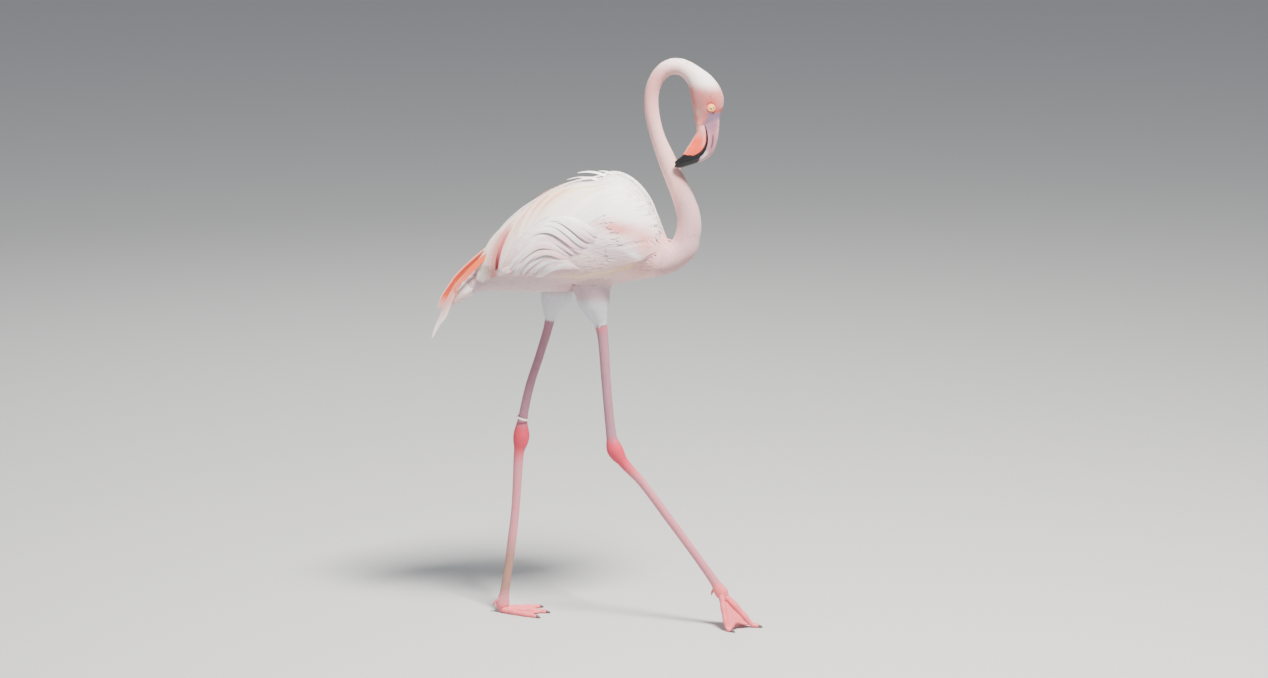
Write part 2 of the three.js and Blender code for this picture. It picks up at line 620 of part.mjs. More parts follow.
addFoot('right', FOOT_RIGHT, footTopRight);
addFoot('left', FOOT_LEFT, footTopLeft);

// Hind toes: short, and held clear of the floor.
const HALLUX_RIGHT = [
  [238, -30, 72, 3.4, 3.4], [230, -28.4, 69, 3.2, 3], [225.5, -27.4, 63, 2.3, 2.1], [224, -27, 57, 0.7, 0.7],
];
const HALLUX_LEFT = [
  [-166, 28, 26, 3.4, 3.4], [-174, 26.4, 23.5, 3.2, 3], [-179.5, 25.4, 18, 2.3, 2.1], [-182.5, 25, 12, 0.7, 0.7],
];
const grownRight = footTopRight.add(pathBody(LEG_RIGHT, LEG_RIGHT.knots[12], 1, 8, 10, GAP));
const grownLeft = footTopLeft.add(pathBody(LEG_LEFT, LEG_LEFT.knots[12], 1, 8, 10, GAP));
addNode('hallux_right', blade(HALLUX_RIGHT, 6, 8).subtract(grownRight), 'foot_skin');
addNode('hallux_left', blade(HALLUX_LEFT, 6, 8).subtract(grownLeft), 'foot_skin');

// ---- Leg band, loose on the left shin above the ankle ----
const BAND_AT = V(-126.2, 37.9, 365.5);
const BAND_TILT = rad(16);
const bandProfile = [
  new THREE.Vector2(BAND_INNER, -BAND_HEIGHT / 2), new THREE.Vector2(BAND_INNER + BAND_WALL, -BAND_HEIGHT / 2),
  new THREE.Vector2(BAND_INNER + BAND_WALL, BAND_HEIGHT / 2), new THREE.Vector2(BAND_INNER, BAND_HEIGHT / 2),
  new THREE.Vector2(BAND_INNER, -BAND_HEIGHT / 2),
];
const bandGeometry = new THREE.LatheGeometry(bandProfile, 16);
bandGeometry.rotateX(Math.PI / 2);
bandGeometry.rotateY(BAND_TILT);
bandGeometry.translate(BAND_AT.x, BAND_AT.y, BAND_AT.z);
addNode('leg_band', fromGeometry(bandGeometry), 'band');

// ---- Origin at the bottom centre of the bounding box ----
const bounds = new THREE.Box3().setFromObject(bird);
const centre = bounds.getCenter(V(0, 0, 0));
for (const node of bird.children) node.geometry.translate(-centre.x, -centre.y, -bounds.min.z);

export default bird;
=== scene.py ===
# %% [markdown]
# # A greater flamingo, life size and still
# A museum's model of a flamingo is built from the inside out: a body of flesh and skin, then a bill
# and eyes of another stuff, then thousands of feathers that lie over the skin like tiles. This script
# follows that order. Every shape is worked out with numpy as a whole array of points, on a grid of
# two parameters or as a profile carried along a path, and the mesh is filled in one go.

# %% Load the frame
import math

import bpy
import numpy as np
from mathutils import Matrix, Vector
from mathutils.bvhtree import BVHTree


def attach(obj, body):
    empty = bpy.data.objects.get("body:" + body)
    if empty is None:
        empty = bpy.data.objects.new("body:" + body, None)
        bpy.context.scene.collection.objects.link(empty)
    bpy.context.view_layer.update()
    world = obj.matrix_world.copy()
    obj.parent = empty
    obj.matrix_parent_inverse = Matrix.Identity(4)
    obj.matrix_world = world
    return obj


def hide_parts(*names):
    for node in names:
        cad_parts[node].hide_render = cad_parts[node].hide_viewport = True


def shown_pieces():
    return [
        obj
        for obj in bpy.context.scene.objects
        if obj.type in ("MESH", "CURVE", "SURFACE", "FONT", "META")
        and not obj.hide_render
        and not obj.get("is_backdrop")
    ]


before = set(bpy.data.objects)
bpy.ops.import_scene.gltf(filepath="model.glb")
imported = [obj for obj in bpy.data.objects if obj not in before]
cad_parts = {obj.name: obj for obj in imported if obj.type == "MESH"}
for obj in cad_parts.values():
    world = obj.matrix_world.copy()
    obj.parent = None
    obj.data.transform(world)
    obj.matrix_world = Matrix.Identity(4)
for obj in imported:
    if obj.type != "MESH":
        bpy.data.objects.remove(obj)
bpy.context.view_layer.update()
print("solids in the frame:", len(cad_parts))

# %% [markdown]
# ## The camera
# A long lens from seven metres away looks slightly down on a bird that is a metre tall. The long lens
# keeps the near and the far leg almost the same size, as a bird watcher's telephoto does.

# %% Camera
camera_data = bpy.data.cameras.new("camera")
camera_data.lens = 110.41
camera_data.sensor_width = 36
camera = bpy.data.objects.new("camera", camera_data)
bpy.context.scene.collection.objects.link(camera)
CAMERA_PLACE = Vector((0.65998, -6.82098, 1.97974))
CAMERA_AIM = Vector((0.06322, 0.0, 0.52435))
camera.location = CAMERA_PLACE
camera.rotation_euler = (CAMERA_AIM - CAMERA_PLACE).to_track_quat("-Z", "Y").to_euler()
bpy.context.scene.camera = camera
print("camera stands", round((CAMERA_AIM - CAMERA_PLACE).length, 2), "m away")

# %% [markdown]
# ## Keyed tables and paths
# A bird has few straight lines, so its sizes are kept as short tables: a row for each place where the
# form changes. A Catmull-Rom spline runs through the rows. A path is the same idea in space, with a
# depth and a width at each row, and it is measured by its length so that rings are evenly spaced.
# Tables are in millimetres, drawn about the bird's own middle. `to_frame` carries points to metres.

# %% Tables and paths
DRAWING_SHIFT = np.array([-0.0175974, 0.0, 0.0])
SIDES = {"right": -1, "left": 1}  # the sign of y on each side
rng = np.random.default_rng(20)


def to_frame(points):
    """Millimetres in the bird's drawing, times 0.001, plus the shift of the box's middle, in metres."""
    return np.asarray(points, float) * 0.001 + DRAWING_SHIFT


def along(rows, at):
    """Catmull-Rom value at `at` of a table [key, value, ...]: a cubic in each span, whose end slopes
    are the rise between the neighbours over their distance, and one-sided at the two ends."""
    rows = np.asarray(rows, float)
    key, value = rows[:, 0], rows[:, 1:]
    at = np.asarray(at, float)
    slope = np.empty_like(value)
    slope[1:-1] = (value[2:] - value[:-2]) / (key[2:] - key[:-2])[:, None]
    slope[0] = (value[1] - value[0]) / (key[1] - key[0])
    slope[-1] = (value[-1] - value[-2]) / (key[-1] - key[-2])
    i = np.clip(np.searchsorted(key, at, side="right") - 1, 0, len(key) - 2)
    span = (key[i + 1] - key[i])[..., None]
    u = np.clip((at - key[i]) / (key[i + 1] - key[i]), 0, 1)[..., None]
    return ((2 * u**3 - 3 * u**2 + 1) * value[i] + (u**3 - 2 * u**2 + u) * span * slope[i]
            + (3 * u**2 - 2 * u**3) * value[i + 1] + (u**3 - u**2) * span * slope[i + 1])


def ease(x):
    """0 below 0, 1 above 1, and 3x^2 - 2x^3 between, so that it starts and ends level."""
    x = np.clip(x, 0, 1)
    return x * x * (3 - 2 * x)


def unit(v):
    """A vector over its own length, row by row."""
    return v / np.maximum(np.linalg.norm(v, axis=-1, keepdims=True), 1e-12)


def ring_turns(count):
    """The angles of `count` points set evenly round a ring, from 0."""
    return np.linspace(0, 2 * np.pi, count, endpoint=False)


class Path:
    """Smooth line through rows [x, y, z, deep, wide], read by its share of length from 0 to 1."""

    def __init__(self, rows, fine=48):
        rows = np.asarray(rows, float)
        p = rows[:, :3]
        p = np.vstack([2 * p[0] - p[1], p, 2 * p[-1] - p[-2]])
        gap = np.sqrt(np.linalg.norm(np.diff(p, axis=0), axis=1))  # centripetal spacing
        u = np.linspace(0, 1, fine, endpoint=False)[:, None]
        pieces = []
        for i in range(len(rows) - 1):
            a, b, c, d = p[i:i + 4]
            g0, g1, g2 = gap[i:i + 3]
            m1 = ((b - a) / g0 - (c - a) / (g0 + g1) + (c - b) / g1) * g1
            m2 = ((c - b) / g1 - (d - b) / (g1 + g2) + (d - c) / g2) * g1
            pieces.append((2 * u**3 - 3 * u**2 + 1) * b + (u**3 - 2 * u**2 + u) * m1
                          + (3 * u**2 - 2 * u**3) * c + (u**3 - u**2) * m2)
        self.line = np.vstack([*pieces, p[-2]])
        steps = np.linalg.norm(np.diff(self.line, axis=0), axis=1)
        run = np.concatenate([[0], np.cumsum(steps)])
        self.length = run[-1]
        self.share = run / run[-1]
        self.knots = self.share[::fine]
        self.table = np.column_stack([self.knots, rows[:, 3:5]])

    def point(self, t):
        """The point at share t, between the two nearest fine points."""
        return np.stack([np.interp(t, self.share, self.line[:, k]) for k in range(3)], -1)

    def tangent(self, t):
        """The direction at share t, from the points a little before and after."""
        t = np.asarray(t, float)
        return unit(self.point(np.clip(t + 0.004, 0, 1)) - self.point(np.clip(t - 0.004, 0, 1)))

    def stations(self, t):
        """Centre, up axis, side axis, depth and width: side is +Y made square to the path, and up is
        side times the path's direction."""
        way = self.tangent(t)
        side = unit(np.array([0.0, 1.0, 0.0]) - way * way[..., 1:2])
        radii = along(self.table, t)
        return self.point(t), np.cross(side, way), side, radii[..., 0], radii[..., 1]


print("a table at its own key gives its own row:", along([[0, 1], [1, 3], [2, 2]], np.array([1.0])))

# %% [markdown]
# ## Meshes from arrays
# Blender can take all points and faces of a mesh at once. A tube is a grid of rings, closed at both
# ends by a fan about the last ring's middle, so that it is a solid shell with no hole.

# %% Mesh helpers
def make_mesh(name, points, quads=None, tris=None, smooth=True):
    """Object from an array of points in drawing millimetres and arrays of four- and three-cornered
    faces. Corners are listed face after face, so a face starts where the one before it ended."""
    quads = np.zeros((0, 4), int) if quads is None else np.asarray(quads)
    tris = np.zeros((0, 3), int) if tris is None else np.asarray(tris)
    corners = np.concatenate([quads.ravel(), tris.ravel()]).astype(np.int32)
    totals = np.concatenate([np.full(len(quads), 4), np.full(len(tris), 3)]).astype(np.int32)
    starts = np.concatenate([[0], np.cumsum(totals)[:-1]]).astype(np.int32)
    mesh = bpy.data.meshes.new(name)
    mesh.vertices.add(len(points))
    mesh.vertices.foreach_set("co", to_frame(points).astype(np.float32).ravel())
    mesh.loops.add(len(corners))
    mesh.loops.foreach_set("vertex_index", corners)
    mesh.polygons.add(len(totals))
    mesh.polygons.foreach_set("loop_start", starts)
    mesh.polygons.foreach_set("loop_total", totals)
    mesh.polygons.foreach_set("use_smooth", np.full(len(totals), smooth))
    mesh.update(calc_edges=True)
    obj = bpy.data.objects.new(name, mesh)
    bpy.context.scene.collection.objects.link(obj)
    return obj


def tube_faces(rings, sides):
    """Faces of `rings` closed rings of `sides` points, and of two end fans about two extra points."""
    a = (np.arange(rings - 1)[:, None] * sides + np.arange(sides)).ravel()
    b = (np.arange(rings - 1)[:, None] * sides + (np.arange(sides) + 1) % sides).ravel()
    quads = np.stack([a, b, b + sides, a + sides], -1)
    i, j = np.arange(sides), (np.arange(sides) + 1) % sides
    last = (rings - 1) * sides
    top = np.stack([j, i, np.full(sides, rings * sides)], -1)
    end = np.stack([last + i, last + j, np.full(sides, rings * sides + 1)], -1)
    return quads, np.vstack([top, end])


def volume(points, quads, tris):
    """Signed volume of a closed shell: a sixth of the sum of each triangle's triple product."""
    faces = np.vstack([tris, quads[:, [0, 1, 2]], quads[:, [0, 2, 3]]])
    a, b, c = (points[faces[:, k]] for k in range(3))
    return float(np.einsum("ij,ij->i", a, np.cross(b, c)).sum() / 6)


def tube(name, grid):
    """Closed shell through a grid of rings (ring, point on the ring, xyz), facing out."""
    rings, sides = grid.shape[:2]
    points = np.vstack([grid.reshape(-1, 3), grid[0].mean(0), grid[-1].mean(0)])
    quads, tris = tube_faces(rings, sides)
    if volume(points - points.mean(0), quads, tris) < 0:
        quads, tris = quads[:, ::-1], tris[:, ::-1]
    return make_mesh(name, points, quads, tris)


def set_tint(obj, colours):
    """Writes one linear colour for each point, as the attribute `tint` that the finishes read."""
    rgba = np.ones((len(obj.data.vertices), 4), np.float32)
    rgba[:, :3] = np.clip(colours, 0, 1)
    obj.data.attributes.new("tint", "FLOAT_COLOR", "POINT").data.foreach_set("color", rgba.ravel())


def tint_tube(obj, colours):
    """Tint of a tube from the colours of its grid. Its two end points take their neighbours'."""
    flat = colours.reshape(-1, 3)
    set_tint(obj, np.vstack([flat, flat[:1], flat[-1:]]))


def read(items, label, width=1, kind=np.int32):
    """One property of all a mesh's points, edges, corners or faces, in rows of `width` values."""
    values = np.empty(len(items) * width, kind)
    items.foreach_get(label, values)
    return values.reshape(-1, width) if width > 1 else values


def points_of(mesh):
    """The mesh's points, back in drawing millimetres."""
    return (read(mesh.vertices, "co", 3, np.float32).astype(float) - DRAWING_SHIFT) * 1000


def triangles(obj):
    """Number of triangles in a mesh: the sum over its faces of their corners less two."""
    return int((read(obj.data.polygons, "loop_total") - 2).sum())


# %% [markdown]
# ## The trunk
# The body under the wings is an egg on its side. Each row of its table is a section: how far along,
# the top, the bottom and half the width. The section is an ellipse that is a little wider low down.
# The same function, with a lift, is the surface that the feathers lie on.

# %% Trunk surface
TRUNK = [
    [-270, 596, 584, 5], [-240, 626, 600, 10],
    [-216, 646, 613, 14], [-200, 666, 606, 25], [-180, 696, 608.5, 38], [-155, 728, 609, 52],
    [-125, 756, 608.5, 65], [-95, 776, 609.5, 75], [-60, 796, 611, 83], [-25, 809.5, 612, 88],
    [10, 817, 616, 91], [40, 827, 623, 91], [65, 822, 630, 87], [85, 809, 634, 80],
    [100, 793, 636, 72], [113, 773, 638, 62], [124, 747, 640, 52], [133, 725, 642, 42],
    [140, 709, 646, 32], [145, 698, 654, 22], [149, 686, 668, 6],
]
TRUNK_REAR, TRUNK_FRONT = -216, 145
EGG = 0.15                     # how much wider the body is low down than high up
SKIN_DEPTH = 5.0               # the coat's depth over the trunk's skin
WING_EDGE = [[-196, 650], [-124, 648], [-30, 650], [20, 656], [70, 667], [110, 684], [136, 702]]
WING_STANDS = 4.0              # the folded wing stands this far over the flank


def body(x, turn, lift=0.0):
    """Point of the trunk's surface: half width times cos(turn), less the egg's share, and the
    middle height plus half the height times sin(turn), both with the lift added."""
    top, bottom, half = np.moveaxis(along(TRUNK, x), -1, 0)
    tall = (top - bottom) / 2
    wide = (half + lift) * np.cos(turn) * (1 - EGG * np.sin(turn))
    return np.stack([x + 0 * turn, wide, (top + bottom) / 2 + (tall + lift) * np.sin(turn)], -1)


def body_normal(x, turn):
    """Outward normal: the cross product of the surface's steps along x and along the turn."""
    e = 0.01
    by_x = body(x + 100 * e, turn) - body(x - 100 * e, turn)
    by_turn = body(x, turn + e) - body(x, turn - e)
    return unit(np.cross(by_turn, by_x))


def body_turn(x, z, side):
    """The turn at which the surface at x has the height z, on the right (-1) or left (1) side."""
    top, bottom, _ = np.moveaxis(along(TRUNK, x), -1, 0)
    rise = np.arcsin(np.clip((z - (top + bottom) / 2) / ((top - bottom) / 2 + 3), -0.995, 0.995))
    return rise if side > 0 else np.pi - rise


def wing_lift(x, z):
    """How far the folded wing stands over the flank: full inside its edge, easing out to nothing."""
    edge = along(WING_EDGE, x)[..., 0]
    return WING_STANDS * ease((z - edge) / 10) * ease((139 - x) / 26) * ease((x + 214) / 40)


trunk_x = np.concatenate([np.linspace(TRUNK_REAR + 5, 118, 66), np.linspace(120, TRUNK_FRONT - 3, 14)])
trunk_turn = ring_turns(64)
trunk_grid = body(*np.meshgrid(trunk_x, trunk_turn, indexing="ij"), lift=-SKIN_DEPTH)
print("trunk skin is", round(float(np.ptp(trunk_grid[..., 1]))), "mm wide")

# %% [markdown]
# ## The neck and the head
# A flamingo's neck has nineteen long bones and bends in an S, then over in a loop, so the head hangs
# upside down to feed. The neck and the head are one path here, from inside the breast to the bill, so
# that the skin and the small feathers run over the nape with no seam.

# %% Neck and head tables
NECK = Path([[x, y, z, r, r] for x, y, z, r in [
    [176.8, 0, 714, 22.6], [180, 0, 735, 21.8], [177.5, 0, 757, 20.8], [170.5, -0.3, 779, 19.5],
    [161.5, -0.6, 801, 18.3], [152, -1, 822.5, 17.2], [143, -1.4, 844, 16.3],
    [134, -1.8, 865.5, 15.2], [125.5, -2.2, 887, 13.6], [119, -2.8, 908.6, 13],
    [114, -3.4, 930, 13.3], [111.7, -4, 951.6, 13.2], [112.5, -4.8, 971, 13], [118, -5.8, 990, 13.2],
    [127.5, -7, 1006, 13.6], [139.5, -8.5, 1017, 14.1], [154, -10, 1021.5, 14.6],
    [166.5, -12, 1020, 15], [177, -13.5, 1015.2, 15.8]]])
NECK_ROOT = Path([
    [176.8, 0, 714, 22.6, 22.6], [172, 0, 697, 24.2, 25], [158, 0, 682, 25.5, 29],
    [140, 0, 676, 31, 36], [118, 0, 674, 34.5, 46], [92, 0, 676, 36, 54]])
# Rows are [x, y, z, turn of the brow in degrees, deep, wide], nape to bill.
HEAD = np.array([
    [177, -13.5, 1015.2, 60, 15.8, 15.8], [188.5, -15, 1006, 46, 18, 17.4],
    [199.5, -16.5, 994, 33, 22.8, 19], [208, -18, 979.5, 20, 27, 20],
    [213.2, -19, 964.5, 11, 28.8, 20], [214.5, -19.6, 949, 9, 27, 18.8],
    [214, -20, 936.5, 15, 24.6, 16.4], [214.2, -20.2, 924.7, 23, 22.3, 14]])
EYE = np.array([221, -19.6, 951.5])
EYE_REACH = 13.9               # from the head's mid-plane to the eyeball's centre
EYE_RADIUS = 6.5
# The bill's base: where the gape starts, and the ways from there to the brow and to the chin.
GAPE_START = np.array([208.3, -20.2, 922.4])
BROW_REACH, CHIN_REACH = np.array([26.5, 0, 11.6]), np.array([-14.7, 0, -6.2])
BASE_HALF = 13.6               # half the width of the bill's base
FACE_END = HEAD[-1, :3]
BILL_TILT = math.radians(23)   # how far the bill leans forward from straight down
BILL_WAY = np.array([math.sin(BILL_TILT), 0, -math.cos(BILL_TILT)])


class Trunkline:
    """The neck's root, the neck and the head as one run of stations, read by length in millimetres
    from inside the breast. At turn 0 a ring is at the throat, and at half a turn at the nape."""

    def __init__(self):
        t = np.linspace(1, 0.02, 40)
        root = list(NECK_ROOT.stations(t))
        root[1] = -root[1]     # the root's path runs the other way, so its up axis turns over
        neck = NECK.stations(np.linspace(0, 1, 260))
        rows = along(np.column_stack([np.arange(len(HEAD)), HEAD]), np.linspace(0.08, 7, 110))
        brow = np.radians(rows[:, 3])
        up = -np.column_stack([np.cos(brow), 0 * brow, np.sin(brow)])
        head = (rows[:, :3], up, np.tile([0.0, 1.0, 0.0], (len(rows), 1)), rows[:, 4], rows[:, 5])
        joined = [np.concatenate(part) for part in zip(root, neck, head)]
        self.centre, self.up, self.side, self.deep, self.wide = joined
        step = np.linalg.norm(np.diff(self.centre, axis=0), axis=1)
        self.run = np.concatenate([[0], np.cumsum(step)])
        self.breast = self.run[len(root[0])]
        self.nape = self.run[len(root[0]) + len(neck[0]) - 1]
        self.end = self.run[-1]

    def _read(self, values, at):
        if values.ndim == 1:
            return np.interp(at, self.run, values)
        return np.stack([np.interp(at, self.run, values[:, k]) for k in range(3)], -1)

    def point(self, at, turn, lift=0.0):
        """Centre, plus the up axis times the depth and cos(turn), plus the side axis times the width
        and sin(turn)."""
        deep = (self._read(self.deep, at) + lift) * np.cos(turn)
        wide = (self._read(self.wide, at) + lift) * np.sin(turn)
        up, side = unit(self._read(self.up, at)), self._read(self.side, at)
        return self._read(self.centre, at) + up * deep[..., None] + side * wide[..., None]

    def normal(self, at, turn):
        """Outward: the up axis times cos(turn) over the depth, plus the side's, over the width."""
        deep, wide = self._read(self.deep, at), self._read(self.wide, at)
        up, side = unit(self._read(self.up, at)), self._read(self.side, at)
        return unit(up * (np.cos(turn) / deep)[..., None] + side * (np.sin(turn) / wide)[..., None])


line = Trunkline()
print("breast to bill measures", round(line.end - line.breast), "mm")

# %% [markdown]
# ## The legs
# What looks like a flamingo's backward knee is its ankle. The feathered thigh ends above the bare
# tibia, then come the knobbed ankle, the tarsus and the webbed foot. Each leg is one path, so its
# skin has no joint lines.

# %% Leg tables
SHANK_FLATNESS = 0.78          # sideways radius of a shank over its fore-and-aft radius
THIGHS = {
    "right": [[12, -40, 668, 44, 34], [8, -40, 640, 40, 32], [10, -39, 615, 32, 27],
              [13, -38, 598, 28.5, 24], [17, -37, 583, 22.5, 19.5], [20.6, -36.5, 571, 16.8, 15],
              [23, -36, 563.5, 12.6, 11.5], [25.2, -36.2, 550, 10.6, 8.5]],
    "left": [[-64, 40, 662, 46, 34], [-60.5, 40, 630, 38, 31], [-62, 38, 602, 31, 26],
             [-67, 37, 586, 25, 22], [-72.3, 36.5, 567, 16.6, 15.5], [-74.6, 36, 555, 10.4, 10],
             [-77.2, 36.1, 542, 8.9, 7.2]],
}
SHANKS = {
    "right": [[23, -36, 563.5, 11.5], [27.9, -36.3, 534.7, 9.6], [33.3, -37, 461, 8.6],
              [39.5, -37.6, 388, 8.6], [44, -38, 349, 9.8], [46.3, -38.2, 338.5, 12.6],
              [49.6, -38.3, 328, 14.6], [55.5, -38.3, 317.5, 13.2], [63.3, -38.2, 307, 9.9],
              [71, -38, 297.5, 9], [96.5, -37.7, 270.5, 7.8], [148.5, -36.6, 200, 7.6],
              [202, -35, 125.5, 7.4], [232, -34, 82, 8.6], [238, -33.6, 72, 11],
              [244, -33.2, 63, 12], [249, -33, 54, 8]],
    "left": [[-74.6, 36, 555, 9.4], [-78.6, 36.2, 535, 8.2], [-94, 36.6, 484, 7.7],
             [-113.5, 37.2, 423, 7.9], [-126.5, 38, 361, 9], [-128, 38, 346, 12.4],
             [-128.6, 38, 333, 14.8], [-130.4, 38, 319, 13.4], [-132.6, 37.8, 306, 9.8],
             [-134, 37.6, 294, 9], [-140, 36, 198, 7.6], [-146.5, 34, 139, 8], [-154, 32, 82, 8],
             [-161, 30.6, 36, 8.8], [-163, 30.2, 24, 11], [-164, 30, 13, 12.5], [-161, 30, 6, 9]],
}
# Each toe row is [x, y, z, radius], from the joint to where its claw starts.
TOES = {
    "right": {
        "inner": [[243, -29, 62, 6], [257, -23, 43, 5.8], [270, -13, 20, 5], [280, -6.2, 5, 4.6],
                  [288, -3, 2.6, 3.8]],
        "middle": [[245, -33, 61, 7.6], [263, -32.8, 45, 7.2], [283, -32.4, 23, 6.2],
                   [299, -32, 5.6, 5.2], [310, -31.8, 2.9, 4.3]],
        "outer": [[243, -38, 60, 6.5], [247, -46, 42, 6.2], [251, -55, 21, 5.4],
                  [256.5, -61.3, 5, 4.8], [263, -65, 2.7, 4]]},
    "left": {
        "inner": [[-163, 26, 5.2, 6.5], [-142, 15, 4.2, 5.8], [-118, 4, 3.5, 5], [-98, -4, 2.6, 4]],
        "middle": [[-162, 30, 5.8, 7.5], [-138, 30, 5, 6.8], [-110, 29.6, 4, 5.6],
                   [-84, 29.4, 2.8, 4.2]],
        "outer": [[-163, 34, 5.2, 6.8], [-143, 45, 4.4, 6], [-119, 56, 3.7, 5.2],
                  [-100, 63.5, 2.6, 4]]},
}
HIND_TOES = {
    "right": [[238, -30, 72, 3.4, 3.4], [230, -28.4, 69, 3.2, 3], [225.5, -27.4, 63, 2.3, 2.1],
              [224, -27, 57, 0.7, 0.7]],
    "left": [[-166, 28, 26, 3.4, 3.4], [-174, 26.4, 23.5, 3.2, 3], [-179.5, 25.4, 18, 2.3, 2.1],
             [-182.5, 25, 12, 0.7, 0.7]],
}
TAIL = Path([[-206, 0, 629, 19, 22], [-220, 0, 615, 17, 24], [-234, 0, 601, 12.5, 24],
             [-246, 0, 588.5, 6, 20], [-252, 0, 582, 1.5, 10]])
WEB_THICKNESS = 2.2
thighs = {name: Path(rows) for name, rows in THIGHS.items()}
shanks = {name: Path([[x, y, z, r, r * SHANK_FLATNESS] for x, y, z, r in rows])
          for name, rows in SHANKS.items()}
toes = {name: {toe: Path([[x, y, z, r * 0.86, r] for x, y, z, r in rows])
               for toe, rows in foot.items()} for name, foot in TOES.items()}
print("legs measure", {name: round(path.length) for name, path in shanks.items()}, "mm")

# %% [markdown]
# ## One skin
# The skin is the union of its forms: trunk, neck with head, tail root, and each leg with its foot.
# A union leaves one closed shell, with nothing inside it and no seam where a form meets the next.
# The eyelids are two rings round the eyes, and the sockets are cut out behind them.

# %% Parts of the skin
def path_rings(path, t, sides, lift=0.0):
    """Rings across a path: centre, plus up times depth times cos, plus side times width times sin."""
    centre, up, side, deep, wide = path.stations(t)
    turn = ring_turns(sides)
    lift = np.broadcast_to(np.asarray(lift, float), deep.shape)
    return (centre[:, None] + up[:, None] * ((deep + lift)[:, None] * np.cos(turn))[..., None]
            + side[:, None] * ((wide + lift)[:, None] * np.sin(turn))[..., None])


def neck_and_head_rings(sides=84):
    """Rings of the neck and head, inside the coat by its depth. Over the last of the head they turn
    into the outline of the bill's base, then fold over its rim as a thin lip and end inside it."""
    at = np.concatenate([np.linspace(4, line.nape, 190), np.linspace(line.nape + 1.4, line.end, 86)])
    turn = ring_turns(sides)
    depth = np.interp(at, [0, line.breast, line.breast + 80, line.nape, line.nape + 60, line.end - 16],
                      [5, 4.5, 2.6, 1.8, 1.2, 0.15])
    grid = line.point(at[:, None] + 0 * turn, turn + 0 * at[:, None], -depth[:, None])
    fold = 0.14 * np.sin((line.end - at)[:, None] * 1.9 + 1.2 * np.cos(2 * turn))
    fold = fold * ease((26 - np.abs(line.end - at - 2))[:, None] / 12) * np.abs(np.sin(turn)) ** 0.7
    grid = grid + fold[..., None] * line.normal(at[:, None] + 0 * turn, turn + 0 * at[:, None])
    brow_side = np.cos(turn) < 0
    reach = np.abs(np.cos(turn)) ** np.where(brow_side, 0.75, 0.6)
    rim = (GAPE_START + np.where(brow_side[:, None], BROW_REACH, CHIN_REACH) * reach[:, None]
           + np.array([0, BASE_HALF, 0]) * np.sin(turn)[:, None])
    rim = rim - ((rim - FACE_END) @ BILL_WAY)[:, None] * BILL_WAY
    near = ease((at - line.end + 14) / 13)[:, None, None]
    outward = unit(rim - rim.mean(0))
    grid = grid + (rim + outward * 0.12 - grid[-1]) * near
    lip = [rim + outward * grow + BILL_WAY * ahead for ahead, grow in (
        (0.5, 0.12), (1.0, 0.08), (1.4, -0.04), (1.5, -0.5), (1.3, -1.4), (5.0, -3.0))]
    return np.concatenate([grid, np.array(lip)])


def leg_rings(name, sides=36):
    """Rings of a thigh, inside its feathers, then of the bare leg, which is smooth down to the toes."""
    upper = path_rings(thighs[name], np.linspace(0, 0.97, 26), sides,
                       lift=np.interp(np.linspace(0, 1, 26), [0, 0.8, 1], [-4, -3.2, -1.6]))
    lower = path_rings(shanks[name], np.linspace(0.004, 1, 250), sides)
    return np.concatenate([upper, lower])


def toe_rings(path, sides=20, count=46):
    """Rings of a toe with its knuckles: past the first 15 %, the radius gains 0.45 mm times the
    cosine of three turns along the toe."""
    t = np.linspace(0, 1, count)
    knuckle = 0.45 * np.cos(2 * np.pi * 3 * t) * (t > 0.15)
    return path_rings(path, t, sides, lift=knuckle)


def web_grid(toe_a, toe_b, steps=40, across=22):
    """Sheet between two toes, with slack folds that run out from the joint: the middle height dips
    and ripples by 0.9 sin of five half turns across, and its front edge bows in."""
    s = np.linspace(0, 1, across)[None, :]
    bow = 1 - 0.22 * np.sin(np.pi * s)
    t = 0.04 + (0.93 * bow - 0.04) * np.linspace(0, 1, steps)[:, None]
    a, b = toe_a.point(t), toe_b.point(t)
    here = a + (b - a) * s[..., None]
    fold = 0.9 * np.sin(5 * np.pi * s) * np.sin(np.pi * s) * ease(t * 2.2)
    level = np.maximum(here[..., 2] - 1.2 * np.sin(np.pi * s) + fold, WEB_THICKNESS / 2 + 0.3)
    normal = unit(np.cross(toe_a.tangent(t) + toe_b.tangent(t), b - a))
    normal *= np.where(normal[..., 2:] < 0, -1, 1)
    here[..., 2] = level
    over, under = here + normal * WEB_THICKNESS / 2, here - normal * WEB_THICKNESS / 2
    return np.concatenate([over, under[:, ::-1]], 1)


def lid_rings(side, reach, thick, out):
    """A fold of flesh round the eye: a torus whose tube is thicker above and finely wrinkled, and
    which stands `out` from the eyeball's middle, further back at its rear corner."""
    u = ring_turns(72)[:, None]
    v = ring_turns(16)[None, :]
    tube_radius = thick * (1 + 0.22 * np.sin(u) + 0.05 * np.sin(11 * u + 0.6 * reach))
    far = reach * (1 + 0.05 * np.cos(2 * u)) + tube_radius * np.cos(v)
    x, z = far * np.cos(u), far * np.sin(u) * (0.97 - 0.1 * np.maximum(np.sin(u), 0))
    y = side * (EYE_REACH + out + tube_radius * 0.85 * np.sin(v) - 0.35 * np.cos(u))
    return EYE + np.stack([x, y + 0 * u, z], -1)


def torus_mesh(name, grid):
    """Closed ring: both ways of the grid wrap round."""
    n, m = grid.shape[:2]
    i, j = np.meshgrid(np.arange(n), np.arange(m), indexing="ij")
    quads = np.stack([i * m + j, (i + 1) % n * m + j, (i + 1) % n * m + (j + 1) % m,
                      i * m + (j + 1) % m], -1).reshape(-1, 4)
    points = grid.reshape(-1, 3)
    if volume(points - points.mean(0), quads, np.zeros((0, 3), int)) < 0:
        quads = quads[:, ::-1]
    return make_mesh(name, points, quads)


